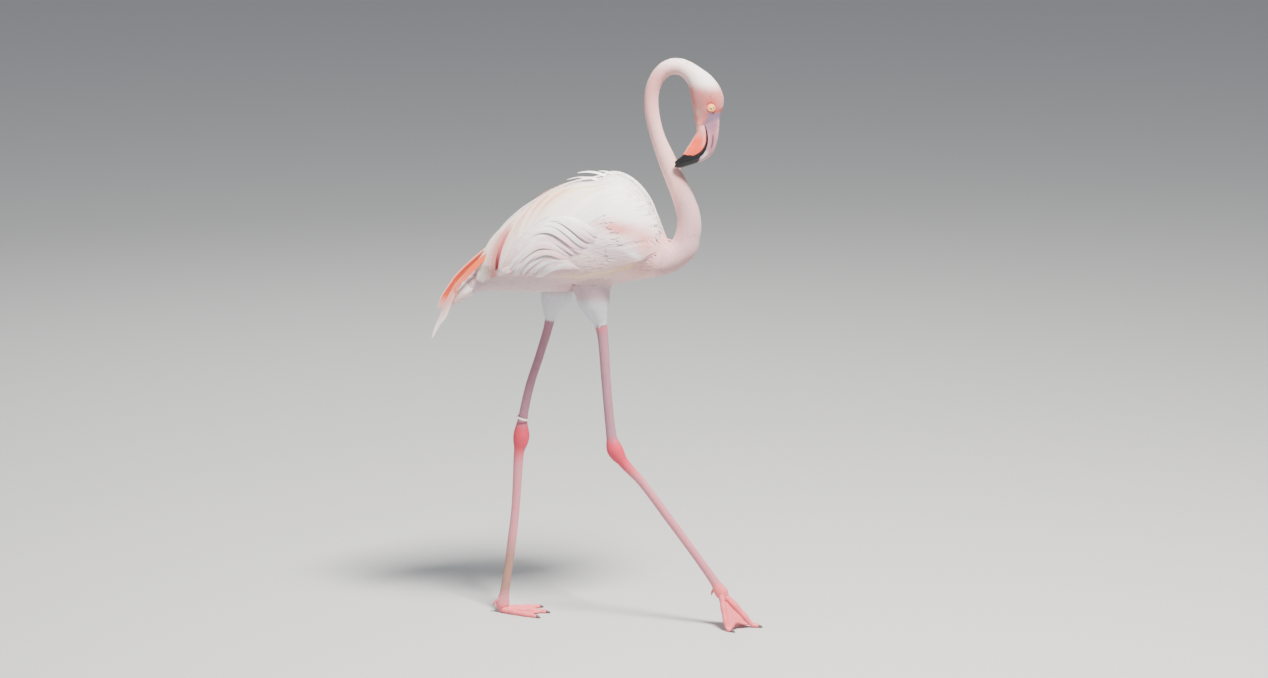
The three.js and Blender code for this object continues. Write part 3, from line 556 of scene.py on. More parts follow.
def ball(name, centre, radii, count=32):
    """Ellipsoid as a tube whose rings shrink towards both poles."""
    polar = np.linspace(0.05, np.pi - 0.05, count // 2)[:, None]
    turn = ring_turns(count)[None, :]
    grid = np.stack([np.sin(polar) * np.cos(turn), np.sin(polar) * np.sin(turn),
                     np.cos(polar) + 0 * turn], -1)
    return tube(name, np.asarray(centre) + grid * np.asarray(radii))


SOLVER = "MANIFOLD" if "MANIFOLD" in [
    item.identifier for item in bpy.types.BooleanModifier.bl_rna.properties["solver"].enum_items
] else "EXACT"


def combine(target, others, operation):
    """Boolean of one shell with others, applied, and the others removed."""
    for other in others:
        step = target.modifiers.new("combine", "BOOLEAN")
        step.operation = operation
        step.solver = SOLVER
        step.object = other
        bpy.context.view_layer.update()
        mesh = bpy.data.meshes.new_from_object(
            target.evaluated_get(bpy.context.evaluated_depsgraph_get()))
        target.modifiers.clear()
        old = target.data
        target.data = mesh
        bpy.data.meshes.remove(old)
        bpy.data.objects.remove(other)


skin = tube("skin", trunk_grid)
forms = [tube("neck_form", neck_and_head_rings()),
         tube("tail_form", path_rings(TAIL, np.linspace(0, 0.9, 14), 28, lift=-3.5))]
for name in SIDES:
    forms.append(tube("leg_form_" + name, leg_rings(name)))
    hind = path_rings(Path(HIND_TOES[name]), np.linspace(0, 1, 20), 14)
    forms.append(tube("hind_toe_form_" + name, hind))
    for toe, path in toes[name].items():
        forms.append(tube(f"toe_form_{name}_{toe}", toe_rings(path)))
    for pair in (("inner", "middle"), ("middle", "outer")):
        grid = web_grid(*(toes[name][toe] for toe in pair))
        forms.append(tube(f"web_form_{name}_{pair[0]}", grid))
forms.append(ball("pad_form", (-160, 30, 4.6), (12, 10, 6)))
combine(skin, forms, "UNION")
corner = np.array([[-320, -120], [320, -120], [320, 120], [-320, 120]], float)
ground = np.stack([np.column_stack([corner, np.full(4, z)]) for z in (-60.0, 0.0)])
sockets = [ball("socket_" + str(side), EYE + [0, side * EYE_REACH, 0], [EYE_RADIUS + 0.15] * 3)
           for side in SIDES.values()]
combine(skin, [tube("under_floor", ground), *sockets], "DIFFERENCE")
for reach, thick, out in ((7.3, 0.85, 3.9), (5.15, 1.45, 4.5)):
    lids = [torus_mesh("lid_form", lid_rings(side, reach, thick, out)) for side in SIDES.values()]
    combine(skin, lids, "UNION")
skin.name = skin.data.name = "skin"
print("skin:", triangles(skin), "triangles by", SOLVER)

# %% [markdown]
# ## The colours of a flamingo
# The pink comes from what the bird eats, and it is strongest in the wing's hidden feathers, on the
# face and at the ankles. Each colour has a name here, and soft patches lay one over another. Some of
# them are painted light and shade: white on top, lilac and darker pink underneath. The same functions
# colour the skin and the feathers over it, so that no gap in the coat shows another colour.

# %% Named colours and patches
def colour(code):
    """Linear colour from a web code: each share c becomes ((c + 0.055) / 1.055) to the power 2.4."""
    share = np.array([int(code[i:i + 2], 16) / 255 for i in (0, 2, 4)])
    return np.where(share <= 0.04045, share / 12.92, ((share + 0.055) / 1.055) ** 2.4)


WHITE, PALE_PINK, BLUSH = colour("fcf5f2"), colour("ebb1ab"), colour("dc736e")
# The lilac is a painted shade for the white and pink plumage.
CREAM, PEACH, LILAC_SHADE = colour("f3ca8c"), colour("ec946c"), colour("9c7190")
# The belly colour is its pink darkened by painted shade; the thighs' white is dimmed to a grey-blue
# painted shade.
SHADED_BELLY, SHADED_THIGH_WHITE = colour("cb9fa6"), colour("dcdde2")
ROSE, DARK_ROSE = colour("d4656c"), colour("86202e")
CORAL, SALMON, DEEP_CORAL = colour("ee6438"), colour("b0382f"), colour("bb2f1d")
LORE, LID, IRIS = colour("8b738a"), colour("f4c284"), colour("e8c75c")
TIBIA, ANKLE, TARSUS = colour("a77786"), colour("d03f56"), colour("cb828e")
MUD, FOOT = colour("847850"), colour("e9767c")
BILL_PALE, BILL_ROSE, MANDIBLE = colour("ba8a95"), colour("935060"), colour("ea5a40")
BILL_BLACK, PUPIL, CLAW = colour("0d0b10"), colour("0b0a0c"), colour("5d4a48")
NOSTRIL, IRIS_RIM, BAND = colour("5d3a48"), colour("6a3c2c"), colour("f1f1ee")


def over(base, top, mask):
    """Mix of two colours by a mask from 0 to 1, which may be one number or a whole array."""
    return base + (np.asarray(top) - base) * np.clip(mask, 0, 1)[..., None]


def patch(x, z, centre, size, tilt=0.0):
    """Soft oval patch: e to the power of minus the squared distance in sizes, turned by tilt."""
    c, s = math.cos(math.radians(tilt)), math.sin(math.radians(tilt))
    dx, dz = x - centre[0], z - centre[1]
    return np.exp(-((dx * c + dz * s) / size[0]) ** 2 - ((dz * c - dx * s) / size[1]) ** 2)


def patched(tint, x, z, patches):
    """Lays patches over a tint, one after another: colour, strength, centre, size and tilt."""
    for shade, strength, *where in patches:
        tint = over(tint, shade, strength * patch(x, z, *where))
    return tint


# The two lilac patches are painted shade: below the shoulder, and on the lower flank under the ruffles.
BODY_PATCHES = [
    (BLUSH, 0.6, (118, 672), (52, 26), 15), (BLUSH, 0.85, (60, 741), (50, 13), -14),
    (BLUSH, 0.8, (108, 714), (22, 15), -30), (LILAC_SHADE, 0.62, (44, 704), (56, 16), -12),
    (WHITE, 0.8, (88, 695), (16, 5), -35), (LILAC_SHADE, 0.3, (-95, 650), (45, 18)),
    (PEACH, 0.6, (-70, 783), (42, 12), 28)]
# Painted highlights: white on the crown and nape, and on the top of the neck's loop.
CROWN_HIGHLIGHTS = [(WHITE, 0.95, (207, 1006), (28, 19), -45), (WHITE, 0.7, (140, 1036), (60, 12))]
FACE_PATCHES = [
    (DEEP_CORAL, 0.65, (219, 963), (14, 9), 12), (DEEP_CORAL, 0.6, (231, 951), (6, 10), 10),
    (DEEP_CORAL, 0.22, (205, 973), (9, 5), -20), (PALE_PINK, 0.5, (197, 940), (8, 14), 20),
    (BLUSH, 0.3, (236, 966), (8, 20))]


def plumage(x, z):
    """Colour of body feathers by place in the side view: white, then pink, then painted lilac shade."""
    # Pinker and lilac towards the bottom: partly the plumage's own pink, partly painted shade under the
    # body.
    tint = over(WHITE, PALE_PINK, 0.85 * ease((750 - z) / 90))
    tint = over(tint, SHADED_BELLY, 0.92 * ease((658 - z) / 32))
    tint = patched(tint, x, z, BODY_PATCHES)
    edge = along(WING_EDGE, x)[..., 0]
    tint = over(tint, CREAM, 0.7 * np.exp(-((z - edge - 2) / 6) ** 2) * ease((x + 45) / 25)
                * ease((100 - x) / 20))
    # Painted shade under the tail's root.
    return over(tint, SHADED_BELLY, 0.6 * patch(x, z, (-205, 612), (40, 14), 25))


def throat_and_face(points, at):
    """Colour of neck and head: pale pink with painted light, whiter towards the front and white on the
    nape, crown and top of the loop, painted pink shade under the loop, salmon on the face, coral
    behind and above the eye, and grey-lilac lores that run into the bill."""
    x, z = points[..., 0], points[..., 2]
    # Painted light: whiter towards the front, on the lower neck and the head, where they face the light.
    tint = over(PALE_PINK, WHITE, 0.14 + 0.4 * ease((x - 150) / 40))
    bend = np.exp(-((at - line.breast - 10) / 55) ** 2)
    tint = over(tint, BLUSH, 0.42 * bend)
    # Painted shade: blush on the loop below its top, where the neck turns away from the light.
    loop = np.exp(-((at - line.nape + 70) / 70) ** 2)
    tint = over(tint, BLUSH, 0.55 * loop * ease((1026 - z) / 24))
    tint = patched(tint, x, z, CROWN_HIGHLIGHTS)
    face = ease((1000 - z - 0.1 * (x - 190)) / 22) * ease((x - 150) / 20)
    tint = patched(over(tint, SALMON, 0.84 * face), x, z, FACE_PATCHES)
    behind = (x - 207.5) - 0.32 * (z - 925)
    lore = ease(behind / 4.5) * ease((945.5 - z) / 5.5) * ease((241 - x) / 7)
    tint = over(tint, LORE, 0.9 * lore)
    chin = ease((932 - z) / 12) * ease((207 - x) / 6)
    return over(tint, PALE_PINK, 0.6 * chin)


def leg_colour(points):
    """Colour down a bare leg: mauve tibia, coral ankle, pink tarsus, and a foot of salmon webs. The
    left tarsus has dried mud low down."""
    y, z = points[..., 1], points[..., 2]
    left = y > 0
    ankle = np.where(left, 332, 325)
    tint = np.where((z > ankle)[..., None], TIBIA, TARSUS)
    tint = over(tint, ROSE, 0.45 * ease((z - 535) / 18) * ~left)
    high = np.where(z > ankle, 26, 44)
    tint = over(tint, ANKLE, ease(1.35 - np.abs(z - ankle) / high))
    dirty = left * ease((150 - z) / 50) * ease((z - 24) / 30)
    tint = over(tint, MUD, 0.62 * dirty)
    tint = over(tint, FOOT, ease((np.where(left, 30, 92) - z) / 22))
    return tint


print("white of the back:", np.round(WHITE, 2))

# %% [markdown]
# ## Colour on the skin
# Each point of the skin takes the colour of its region. Points of the neck and head are matched to the
# nearest station of their line, and legs begin where the thigh's feathers end. A second attribute,
# `scales`, is 1 on the bare legs and feet, and tells the finish where the plates and creases go.

# %% Skin colours
skin_points = points_of(skin.data)
nearest = np.empty(len(skin_points), int)
for start in range(0, len(skin_points), 4000):
    block = skin_points[start:start + 4000]
    apart = ((block[:, None, :] - line.centre[None, ::2]) ** 2).sum(-1)
    nearest[start:start + 4000] = apart.argmin(1) * 2
reach = np.linalg.norm(skin_points - line.centre[nearest], axis=1)
on_neck = (reach < line.wide[nearest] * 1.7) & (skin_points[:, 0] > 100) & (
    (skin_points[:, 2] > 760) | (skin_points[:, 0] > 140))
skin_tint = plumage(skin_points[:, 0], skin_points[:, 2])
skin_tint[on_neck] = throat_and_face(skin_points[on_neck], line.run[nearest[on_neck]])
RIGHT_BARE, LEFT_BARE = 566, 557  # the heights under which the legs are bare
right_leg = (skin_points[:, 1] < 0) & (skin_points[:, 2] < RIGHT_BARE)
left_leg = (skin_points[:, 1] > -8) & (skin_points[:, 2] < LEFT_BARE) & (skin_points[:, 0] < 60)
bare = right_leg | left_leg
thigh_zone = ~bare & (skin_points[:, 2] < 612) & (np.abs(skin_points[:, 0] + 20) < 90)
# The skin under the thigh feathers takes their white, dimmed by painted grey-blue shade.
skin_tint[thigh_zone] = SHADED_THIGH_WHITE
skin_tint[bare] = leg_colour(skin_points[bare])
eye_way = skin_points - EYE
around_eye = np.hypot(eye_way[:, 0], eye_way[:, 2])
on_lid = (around_eye < 7.4) & (np.abs(eye_way[:, 1]) > 10)
lid_shade = over(LID, CORAL, 0.55 * ease((around_eye - 5.0) / 2.0) + 0.25 * ease((eye_way[:, 2] + 1) / 6))
skin_tint = np.where(on_lid[:, None], lid_shade, skin_tint)
set_tint(skin, skin_tint)
skin.data.attributes.new("scales", "FLOAT", "POINT").data.foreach_set(
    "value", bare.astype(np.float32))
print("bare points:", int(bare.sum()), "lid points:", int(on_lid.sum()))

# %% [markdown]
# ## The bill
# The bill is bent in its middle, so that it can be swept upside down through water. The upper half is
# a shallow lid on the deep lower half. Its rows give the ridge, the gape and the keel in the side view,
# and half the width. Each half is an arch from the gape to its crest, closed by a flat face.

# %% Bill
BILL = np.array([
    [234.8, 934, 208.3, 922.4, 193.6, 916.2, 13.6], [234.2, 918, 211.6, 911, 193.6, 906, 13.2],
    [233, 903, 213.4, 900.3, 189.8, 897.6, 12.8], [230.9, 891, 213.4, 889.6, 185.6, 890.4, 12.4],
    [226.7, 876.5, 211.2, 880.8, 181.8, 884, 12], [220.3, 865.3, 207.2, 873.4, 178, 878.6, 11.4],
    [209.5, 857, 201.6, 867.2, 174.5, 872.4, 10.4], [193.6, 850.1, 190.6, 861.2, 171, 867, 8.8],
    [177, 844.8, 176.3, 856, 166.5, 862.2, 7], [163, 841.2, 164.3, 852, 160, 857, 4.8],
    [154.8, 843, 156.6, 848.6, 155, 851.6, 2.2]])
BILL_PART = 0.4                # the gap between the halves at the gape
BASE_Y, TIP_Y = -20.2, -23.5   # the bill's middle plane at its base and at its tip


def bill_half(crest_column, arch, rings=240, sides=72, floor_sides=12):
    """Rings of half a bill: sideways half width times cos, and towards the crest its depth times
    sin to the power `arch`, over a turn from 0 to pi, then back along the flat gape face."""
    s = (len(BILL) - 1) * np.linspace(0, 1, rings) ** 0.95
    row = along(np.column_stack([np.arange(len(BILL)), BILL]), s)
    flat = np.zeros((rings, 3))
    edge, crest = flat.copy(), flat.copy()
    edge[:, [0, 2]] = row[:, 2:4]
    crest[:, [0, 2]] = row[:, crest_column:crest_column + 2]
    up = unit(crest - edge)
    depth = np.linalg.norm(crest - edge, axis=1) - BILL_PART / 2
    edge = edge + up * BILL_PART / 2
    edge[:, 1] = BASE_Y + (TIP_Y - BASE_Y) * s / (len(BILL) - 1)
    turn = np.pi * (1 - np.cos(np.linspace(0, np.pi, sides))) / 2    # closest together at the gape
    across = np.concatenate([np.cos(turn), np.linspace(-1, 1, floor_sides + 2)[1:-1]])
    rise = np.concatenate([np.sin(turn) ** arch, np.zeros(floor_sides)])
    grid = (edge[:, None] + up[:, None] * (depth[:, None] * rise)[..., None]
            + np.array([0, 1, 0]) * (row[:, 6:7] * across)[..., None])
    ahead = (grid - FACE_END) @ BILL_WAY
    push = np.where((ahead < 0.3) | (np.arange(rings)[:, None] == 0), 0.3 - ahead, 0)
    return grid + push[..., None] * BILL_WAY, s[:, None] + 0 * rise, rise + 0 * s[:, None]


def bill_object(name, crest_column, arch):
    """Half of the bill with its marks: a black line along the gape that widens into the black tip,
    a nostril slit sunk in the upper half, and growth lines along both."""
    upper = crest_column == 0
    grid, s, rise = bill_half(crest_column, arch)
    middle = grid[..., 1].mean(1, keepdims=True)
    side = np.sign(grid[..., 1] - middle)
    wide = np.abs(grid[..., 1] - middle)
    if upper:
        slit_x = np.interp(grid[..., 2], [862, 876, 890, 905, 920], [214, 220.5, 223.2, 223.6, 222])
        slit = np.exp(-((grid[..., 0] - slit_x) / 1.25) ** 2) * np.exp(
            -(np.abs(grid[..., 2] - 889) / 12.5) ** 6)
        grid[..., 1] -= side * 2.0 * slit * ease(wide / 4)
        groove = np.exp(-((rise - 0.5) / 0.07) ** 2) * ease(s - 4.2) * ease(9.6 - s)
        grid[..., 1] -= side * 0.5 * groove
    else:
        slit = 0 * s
        lip = np.exp(-((rise - 0.1) / 0.06) ** 2) * ease(s - 0.5) * ease(9.5 - s)
        grid[..., 1] += side * 0.35 * lip
    bill = tube(name, grid)
    away = rise * np.interp(s, [0, 3, 6, 10], [22, 26, 18, 4])
    if upper:
        tint = over(BILL_PALE, LORE, 0.8 * ease(1.6 - s * 0.9))
        tint = over(tint, BILL_ROSE, 0.5 * np.exp(-((rise - 0.55) / 0.25) ** 2) * ease(6 - s))
        tint = over(tint, NOSTRIL, 0.95 * slit)
        streaks = 0.5 + 0.5 * np.sin(rise * 34 + 2 * np.sin(s * 1.7))
        tint = over(tint, BILL_ROSE, 0.25 * streaks * ease(5 - s))
        tint = over(tint, PALE_PINK, 0.35 * ease((rise - 0.8) / 0.15) * ease(7 - s))
        tint = over(tint, WHITE, 0.5 * ease((s - 4.2) / 1.2) * ease((0.75 - rise) / 0.3))
        black = ease((s - 6.7 + 0.9 * (1 - rise)) / 0.3)
        margin = np.interp(s, [0.2, 1.5, 4, 6], [0.6, 1.6, 2.6, 4.5])
    else:
        tint = over(MANDIBLE, PALE_PINK, 0.85 * ease((3.0 - s) / 3.0))
        tint = over(tint, PALE_PINK, 0.8 * ease((rise - 0.9) / 0.08) * ease(7.2 - s))
        tint = over(tint, PALE_PINK, 0.6 * np.exp(-((away - 5.0) / 2.2) ** 2) * ease((4.6 - s) / 1.5))
        tint = over(tint, CORAL, 0.35 * patch(grid[..., 0], grid[..., 2], (184, 876), (12, 9)))
        black = ease((s - 6.2 - 0.8 * rise + 0.05 * np.sin(rise * 17)) / 0.22)
        margin = np.interp(s, [0.2, 1.5, 3, 5, 6.4], [0.5, 1.2, 2.0, 3.0, 4.4])
    black = np.maximum(black, ease((margin - away) / 0.9 + 0.5))
    tint_tube(bill, over(tint, BILL_BLACK, black))
    return bill


bill_top = bill_object("bill_top", 0, 0.75)
bill_under = bill_object("bill_under", 4, 0.6)
print("bill:", triangles(bill_top) + triangles(bill_under), "triangles")

# %% [markdown]
# ## Eyes, claws and the ring
# A flamingo's eye is small and pale yellow with a small pupil, under a clear dome. The dome is the
# eyeball's own gloss here. Claws are short and blunt. The thin ring on the left leg is a plain white
# band, of the kind that a zoo puts on its birds.

# %% Eyeballs
def eyeball(name, side):
    """Ball whose poles point sideways, so its rings are the iris's own rings. The iris's height and
    colour follow the angle from the pole, and a low bulge over the pupil is the cornea."""
    polar = np.concatenate([np.linspace(0.01, 0.9, 50), np.linspace(0.95, 3.13, 34)])[:, None]
    turn = ring_turns(72)[None, :]
    radius = EYE_RADIUS + 0.35 * np.exp(-(polar / 0.55) ** 2)
    grid = np.stack([radius * np.sin(polar) * np.cos(turn), side * (radius * np.cos(polar) + 0 * turn),
                     radius * np.sin(polar) * np.sin(turn)], -1)
    eye = tube(name, EYE + [0, side * EYE_REACH, 0] + grid)
    streak = 0.5 + 0.5 * np.sin(turn * 23 + 3 * np.sin(polar * 30))
    tint = over(IRIS, PEACH, 0.35 * streak * ease((polar - 0.3) / 0.3))
    off_middle = np.hypot(np.sin(polar) * np.cos(turn), np.sin(polar) * np.sin(turn) + 0.06)
    tint = over(tint, PUPIL, ease((0.225 - off_middle) / 0.03) * (polar < 1.5))
    tint_tube(eye, over(tint, IRIS_RIM, 0.85 * ease((polar - 0.5) / 0.07)))
    return eye


eyes = {name: eyeball("eyeball_" + name, side) for name, side in SIDES.items()}
print("eyes stand", round(EYE_REACH + EYE_RADIUS - HEAD[5, 5], 1), "mm proud of the head")

# %% Claws and ring
def claw_shell(name, path):
    """Claw: ellipse rings that shrink and sink towards the tip, flattened just above the floor."""
    end, way = path.point(np.array(1.0)), path.tangent(np.array(1.0)).copy()
    way[2] = 0
    way = unit(way)
    across = np.array([-way[1], way[0], 0])
    k = np.linspace(0, 1, 22)
    step = 0.3 + 7.7 * k
    wide = 3.3 * np.sqrt(1 - 0.93 * k**2.2)
    tall = 2.5 * np.sqrt(1 - 0.93 * k**2)
    level = 3 - 2.0 * k**1.4
    turn = ring_turns(24)
    grid = (np.array([end[0], end[1], 0]) + way * step[:, None, None]
            + across * (wide[:, None] * np.cos(turn))[..., None]
            + np.array([0, 0, 1]) * (level[:, None] + tall[:, None] * np.sin(turn))[..., None])
    grid[..., 2] = np.maximum(grid[..., 2], 0.05)
    return tube(name, grid)


claws = {}
for foot, paths in toes.items():
    for toe, path in paths.items():
        claws[f"claw_{foot}_{toe}"] = claw_shell(f"nail_{foot}_{toe}", path)

BAND_CENTRE = np.array([-126.2, 37.9, 365.5])
u = ring_turns(96)[:, None]
v = ring_turns(24)[None, :]
flat_cos, flat_sin = (np.sign(f(v)) * np.abs(f(v)) ** 0.45 for f in (np.cos, np.sin))
band_reach = 10.7 + 0.65 + 0.65 * flat_cos
ring_points = np.stack([band_reach * np.cos(u), band_reach * np.sin(u), 1.8 * flat_sin + 0 * u], -1)
tilt = math.radians(16)
turned = ring_points.copy()
turned[..., 0] = ring_points[..., 0] * math.cos(tilt) + ring_points[..., 2] * math.sin(tilt)
turned[..., 2] = ring_points[..., 2] * math.cos(tilt) - ring_points[..., 0] * math.sin(tilt)
ring_band = torus_mesh("ring_band", BAND_CENTRE + turned)
print("claws:", len(claws))

# %% [markdown]
# ## How a feather is made
# A vane is a thin closed lens along a line that lies on the body. At each station it has the line's
# place, the surface's normal and, square to both, the way across. The ring there is a flat diamond,
# hexagon or octagon with a sharp edge. Thousands of vanes are made by one array sum.

# %% Vanes
RING_ACROSS = {4: [1, 0, -1, 0], 6: [1, 0.6, -0.6, -1, -0.6, 0.6],
               8: [1, 0.75, 0, -0.75, -1, -0.75, 0, 0.75]}
RING_RISE = {4: [0, 1, 0, -1], 6: [0, 1, 1, 0, -1, -1], 8: [0, 0.85, 1, 0.85, 0, -0.85, -1, -0.85]}
PATCH = 0.003                  # a vane's patch on the baking map
TRUNK_SPAN = 365               # length of the trunk, in millimetres, over the baking map's width


def map_spot(run, length, turn):
    """Place of a vane on the baking map: its share of a length, and its turn, inside a margin."""
    return np.column_stack([0.02 + 0.96 * run / length, 0.02 + 0.96 * np.mod(turn, 2 * np.pi) / 6.2832])


def vane_faces(rings, sides, count):
    """Faces of `count` vanes, each a tube of rings closed by a point at the root and at the tip."""
    quads, tris = tube_faces(rings, sides)
    each = rings * sides + 2
    base = (np.arange(count) * each)[:, None, None]
    return (quads[None] + base).reshape(-1, 4), (tris[None] + base).reshape(-1, 3)


def crisp_rims(obj, each, sides):
    """Marks the edges along both rims of every vane as sharp, so that a vane shades as a flat sheet
    with an edge and not as a rounded rod. A rim edge joins two rim points of one side, or a rim point
    and an end point."""
    spot = read(obj.data.edges, "vertices", 2) % each
    side, is_end = spot % sides, spot >= each - 2
    rim = np.abs(np.array(RING_ACROSS[sides])) == 1
    on_rim = rim[side] & ~is_end
    sharp = (on_rim.all(1) & (side[:, 0] == side[:, 1])) | (on_rim.any(1) & is_end.any(1))
    obj.data.attributes.new("sharp_edge", "BOOLEAN", "EDGE").data.foreach_set("value", sharp)


def vanes(name, centre, normal, half_width, thick, tint, root, camber=0.07, sides=6, roll=0.0):
    """One object of many vanes. A ring's point is the centre, plus the way across times half the width
    times j, plus the normal times the thickness times its rise, less camber times width times j
    squared, so that both edges bend down to the body. `roll` turns each vane about its shaft, so that
    one edge lies over the next vane. `root` is each vane's place on the unwrap."""
    count, m = centre.shape[:2]
    way = unit(np.gradient(centre, axis=1))
    across = unit(np.cross(normal, way))
    up = np.cross(way, across)
    roll = np.broadcast_to(roll, centre.shape[:2])[..., None]
    across, up = across * np.cos(roll) + up * np.sin(roll), up * np.cos(roll) - across * np.sin(roll)
    j, rise = np.array(RING_ACROSS[sides]), np.array(RING_RISE[sides])
    inner = slice(1, m - 1)
    wide = half_width[:, inner, None] * j
    high = thick[:, inner, None] * rise - camber * half_width[:, inner, None] * j**2
    rings = (centre[:, inner, None] + across[:, inner, None] * wide[..., None]
             + up[:, inner, None] * high[..., None])
    flat = rings.reshape(count, (m - 2) * sides, 3)
    points = np.concatenate([flat, centre[:, :1], centre[:, -1:]], 1)
    quads, tris = vane_faces(m - 2, sides, count)
    each = points.shape[1]
    first = points[0] - points[0].mean(0)
    face_count = (m - 3) * sides
    if volume(first, quads[:face_count], tris[:2 * sides]) < 0:
        quads, tris = quads[:, ::-1], tris[:, ::-1]
    obj = make_mesh(name, points.reshape(-1, 3), quads, tris)
    crisp_rims(obj, each, sides)
    colours = np.broadcast_to(tint[:, inner, None], rings.shape).reshape(count, -1, 3)
    set_tint(obj, np.concatenate([colours, tint[:, :1], tint[:, -1:]], 1).reshape(-1, 3))
    run = np.concatenate([np.zeros((count, 1)), np.cumsum(
        np.linalg.norm(np.diff(centre, axis=1), axis=2), 1)], 1)
    share = run / run[:, -1:]

    def per_point(on_ring, at_root, at_tip):
        body_part = np.broadcast_to(on_ring, (count, m - 2, sides)).reshape(count, -1)
        return np.concatenate([body_part, at_root, at_tip], 1).ravel()

    zero = np.zeros((count, 1))
    corner = read(obj.data.loops, "vertex_index")
    place = [per_point(root[:, k, None, None] + offset, root[:, k, None] + low, root[:, k, None] + end)
             for k, offset, low, end in (
                 (0, PATCH * (share[:, inner, None] - 0.5), -PATCH / 2, PATCH / 2),
                 (1, PATCH * j / 2, 0.0, 0.0))]
    bake = np.stack(place, -1)[corner]
    pattern = np.stack([per_point(wide, zero, zero),
                        per_point(run[:, inner, None], zero, run[:, -1:])], -1)[corner] * 0.1
    for label, values in (("OFBake", bake), ("vane", pattern)):
        layer = obj.data.uv_layers.new(name=label)
        layer.uv.foreach_set("vector", values.astype(np.float32).ravel())
    return obj


def rows_over(surface, low, high, step, gap, waver=0.3):
    """Roots in staggered rows: rows are `step` apart along the surface, roots `gap` apart round it, and
    each is moved a little at random so that no tiling shows."""
    a = np.linspace(low, high, 300)
    turn = np.linspace(0, 2 * np.pi, 49)
    grid = surface(a[:, None] + 0 * turn, turn + 0 * a[:, None])
    run = np.concatenate([[0], np.cumsum(np.linalg.norm(np.diff(grid, axis=0), axis=2).mean(1))])
    girth = np.linalg.norm(np.diff(grid, axis=1), axis=2).sum(1)
    rows = []
    for k, at in enumerate(np.arange(step / 2, run[-1], step)):
        here = np.interp(at, run, a)
        n = max(6, int(np.interp(at, run, girth) / gap))
        turns = (np.arange(n) + 0.5 * (k % 2) + waver * rng.uniform(-1, 1, n)) / n * 2 * np.pi
        slide = waver * step * rng.uniform(-1, 1, n) * (high - low) / run[-1]
        rows.append(np.column_stack([np.clip(here + slide, low, high), turns]))
    return np.vstack(rows)


def lie(surface, roots, length, slant, way, stations):
    """Lines of vanes over a surface: from each root, the share s of its length is walked along the
    surface by cos(slant) and round it by sin(slant), each over the surface's stretch there."""
    a0, b0 = roots[:, 0], roots[:, 1]
    e = np.ptp(a0) * 1e-3
    stretch_a = np.linalg.norm(surface(a0 + e, b0) - surface(a0 - e, b0), axis=1) / (2 * e)
    stretch_b = np.linalg.norm(surface(a0, b0 + 0.01) - surface(a0, b0 - 0.01), axis=1) / 0.02
    s = np.linspace(0, 1, stations)
    walk = length[:, None] * s
    a = a0[:, None] + way * walk * np.cos(slant)[:, None] / stretch_a[:, None]
    b = b0[:, None] + walk * np.sin(slant)[:, None] / stretch_b[:, None]
    return surface(a, b), s


def outside(surface, roots, sunk, free=None):
    """The roots, and their places, that are less than `sunk` millimetres under the coat's base and
    pass the test `free`."""
    first = surface(roots[:, 0], roots[:, 1])
    keep = base.drape(first)[2] > -sunk
    if free is not None:
        keep &= free(first)
    return roots[keep], first[keep]


def through_coat(s, depth, top, slow=0.3):
    """Height of a vane over the coat's base: it climbs out of the skin in its first third, then does
    the `slow` share of the depth evenly, up to `top` at its tip."""
    return top * s - depth * ((1 - slow) * (1 - ease(s / 0.35)) + slow * (1 - s))


def drift(points, size, seed):
    """Smooth field from -1 to 1 that bends feathers together: three sines of the place over `size`."""
    a, b, c = np.random.default_rng(seed).uniform(0, 6.28, 3)
    x, y, z = (points[..., k] / size for k in range(3))
    return (np.sin(x * 2.1 + 1.3 * z + a) + np.sin(z * 2.9 - 0.8 * x + y + b)
            + np.sin(y * 2.3 + 1.7 * x + c)) / 3


def leaf(s, blunt=0.6, start=0.25, point=0.5):
    """Outline of a vane by its share of length: it widens over the first part as sin to the power
    0.7, and closes at the tip as a quarter of an ellipse, or with a sharper `point`."""
    rise = np.sin(np.clip(s / start, 0, 1) * np.pi / 2) ** 0.7
    return rise * np.clip(1 - (np.clip(s - blunt, 0, 1) / (1 - blunt)) ** 2, 0, 1) ** point


four_sides, three_sides = vane_faces(4, 6, 1)
print("vane of 6 sides and 4 rings has", 2 * len(four_sides) + len(three_sides), "triangles")

# %% [markdown]
# ## The coat's base
# Where the neck meets the breast, and a thigh the belly, the feathers of one run on over the other.
# So the forms are joined once more at the height of the feathers, cut into small cells and smoothed,
# and every small feather is laid on this one flowing surface by its nearest point.

# %% Base that the coat lies on
def flank(x, turn, lift=0.0):
    """The trunk's surface with the folded wing's thickness added, which is where its feathers lie."""
    z = body(x, turn)[..., 2]
    high = wing_lift(x, z) * ease((np.abs(np.cos(turn)) - 0.08) / 0.2)
    return body(x, turn, high + lift)


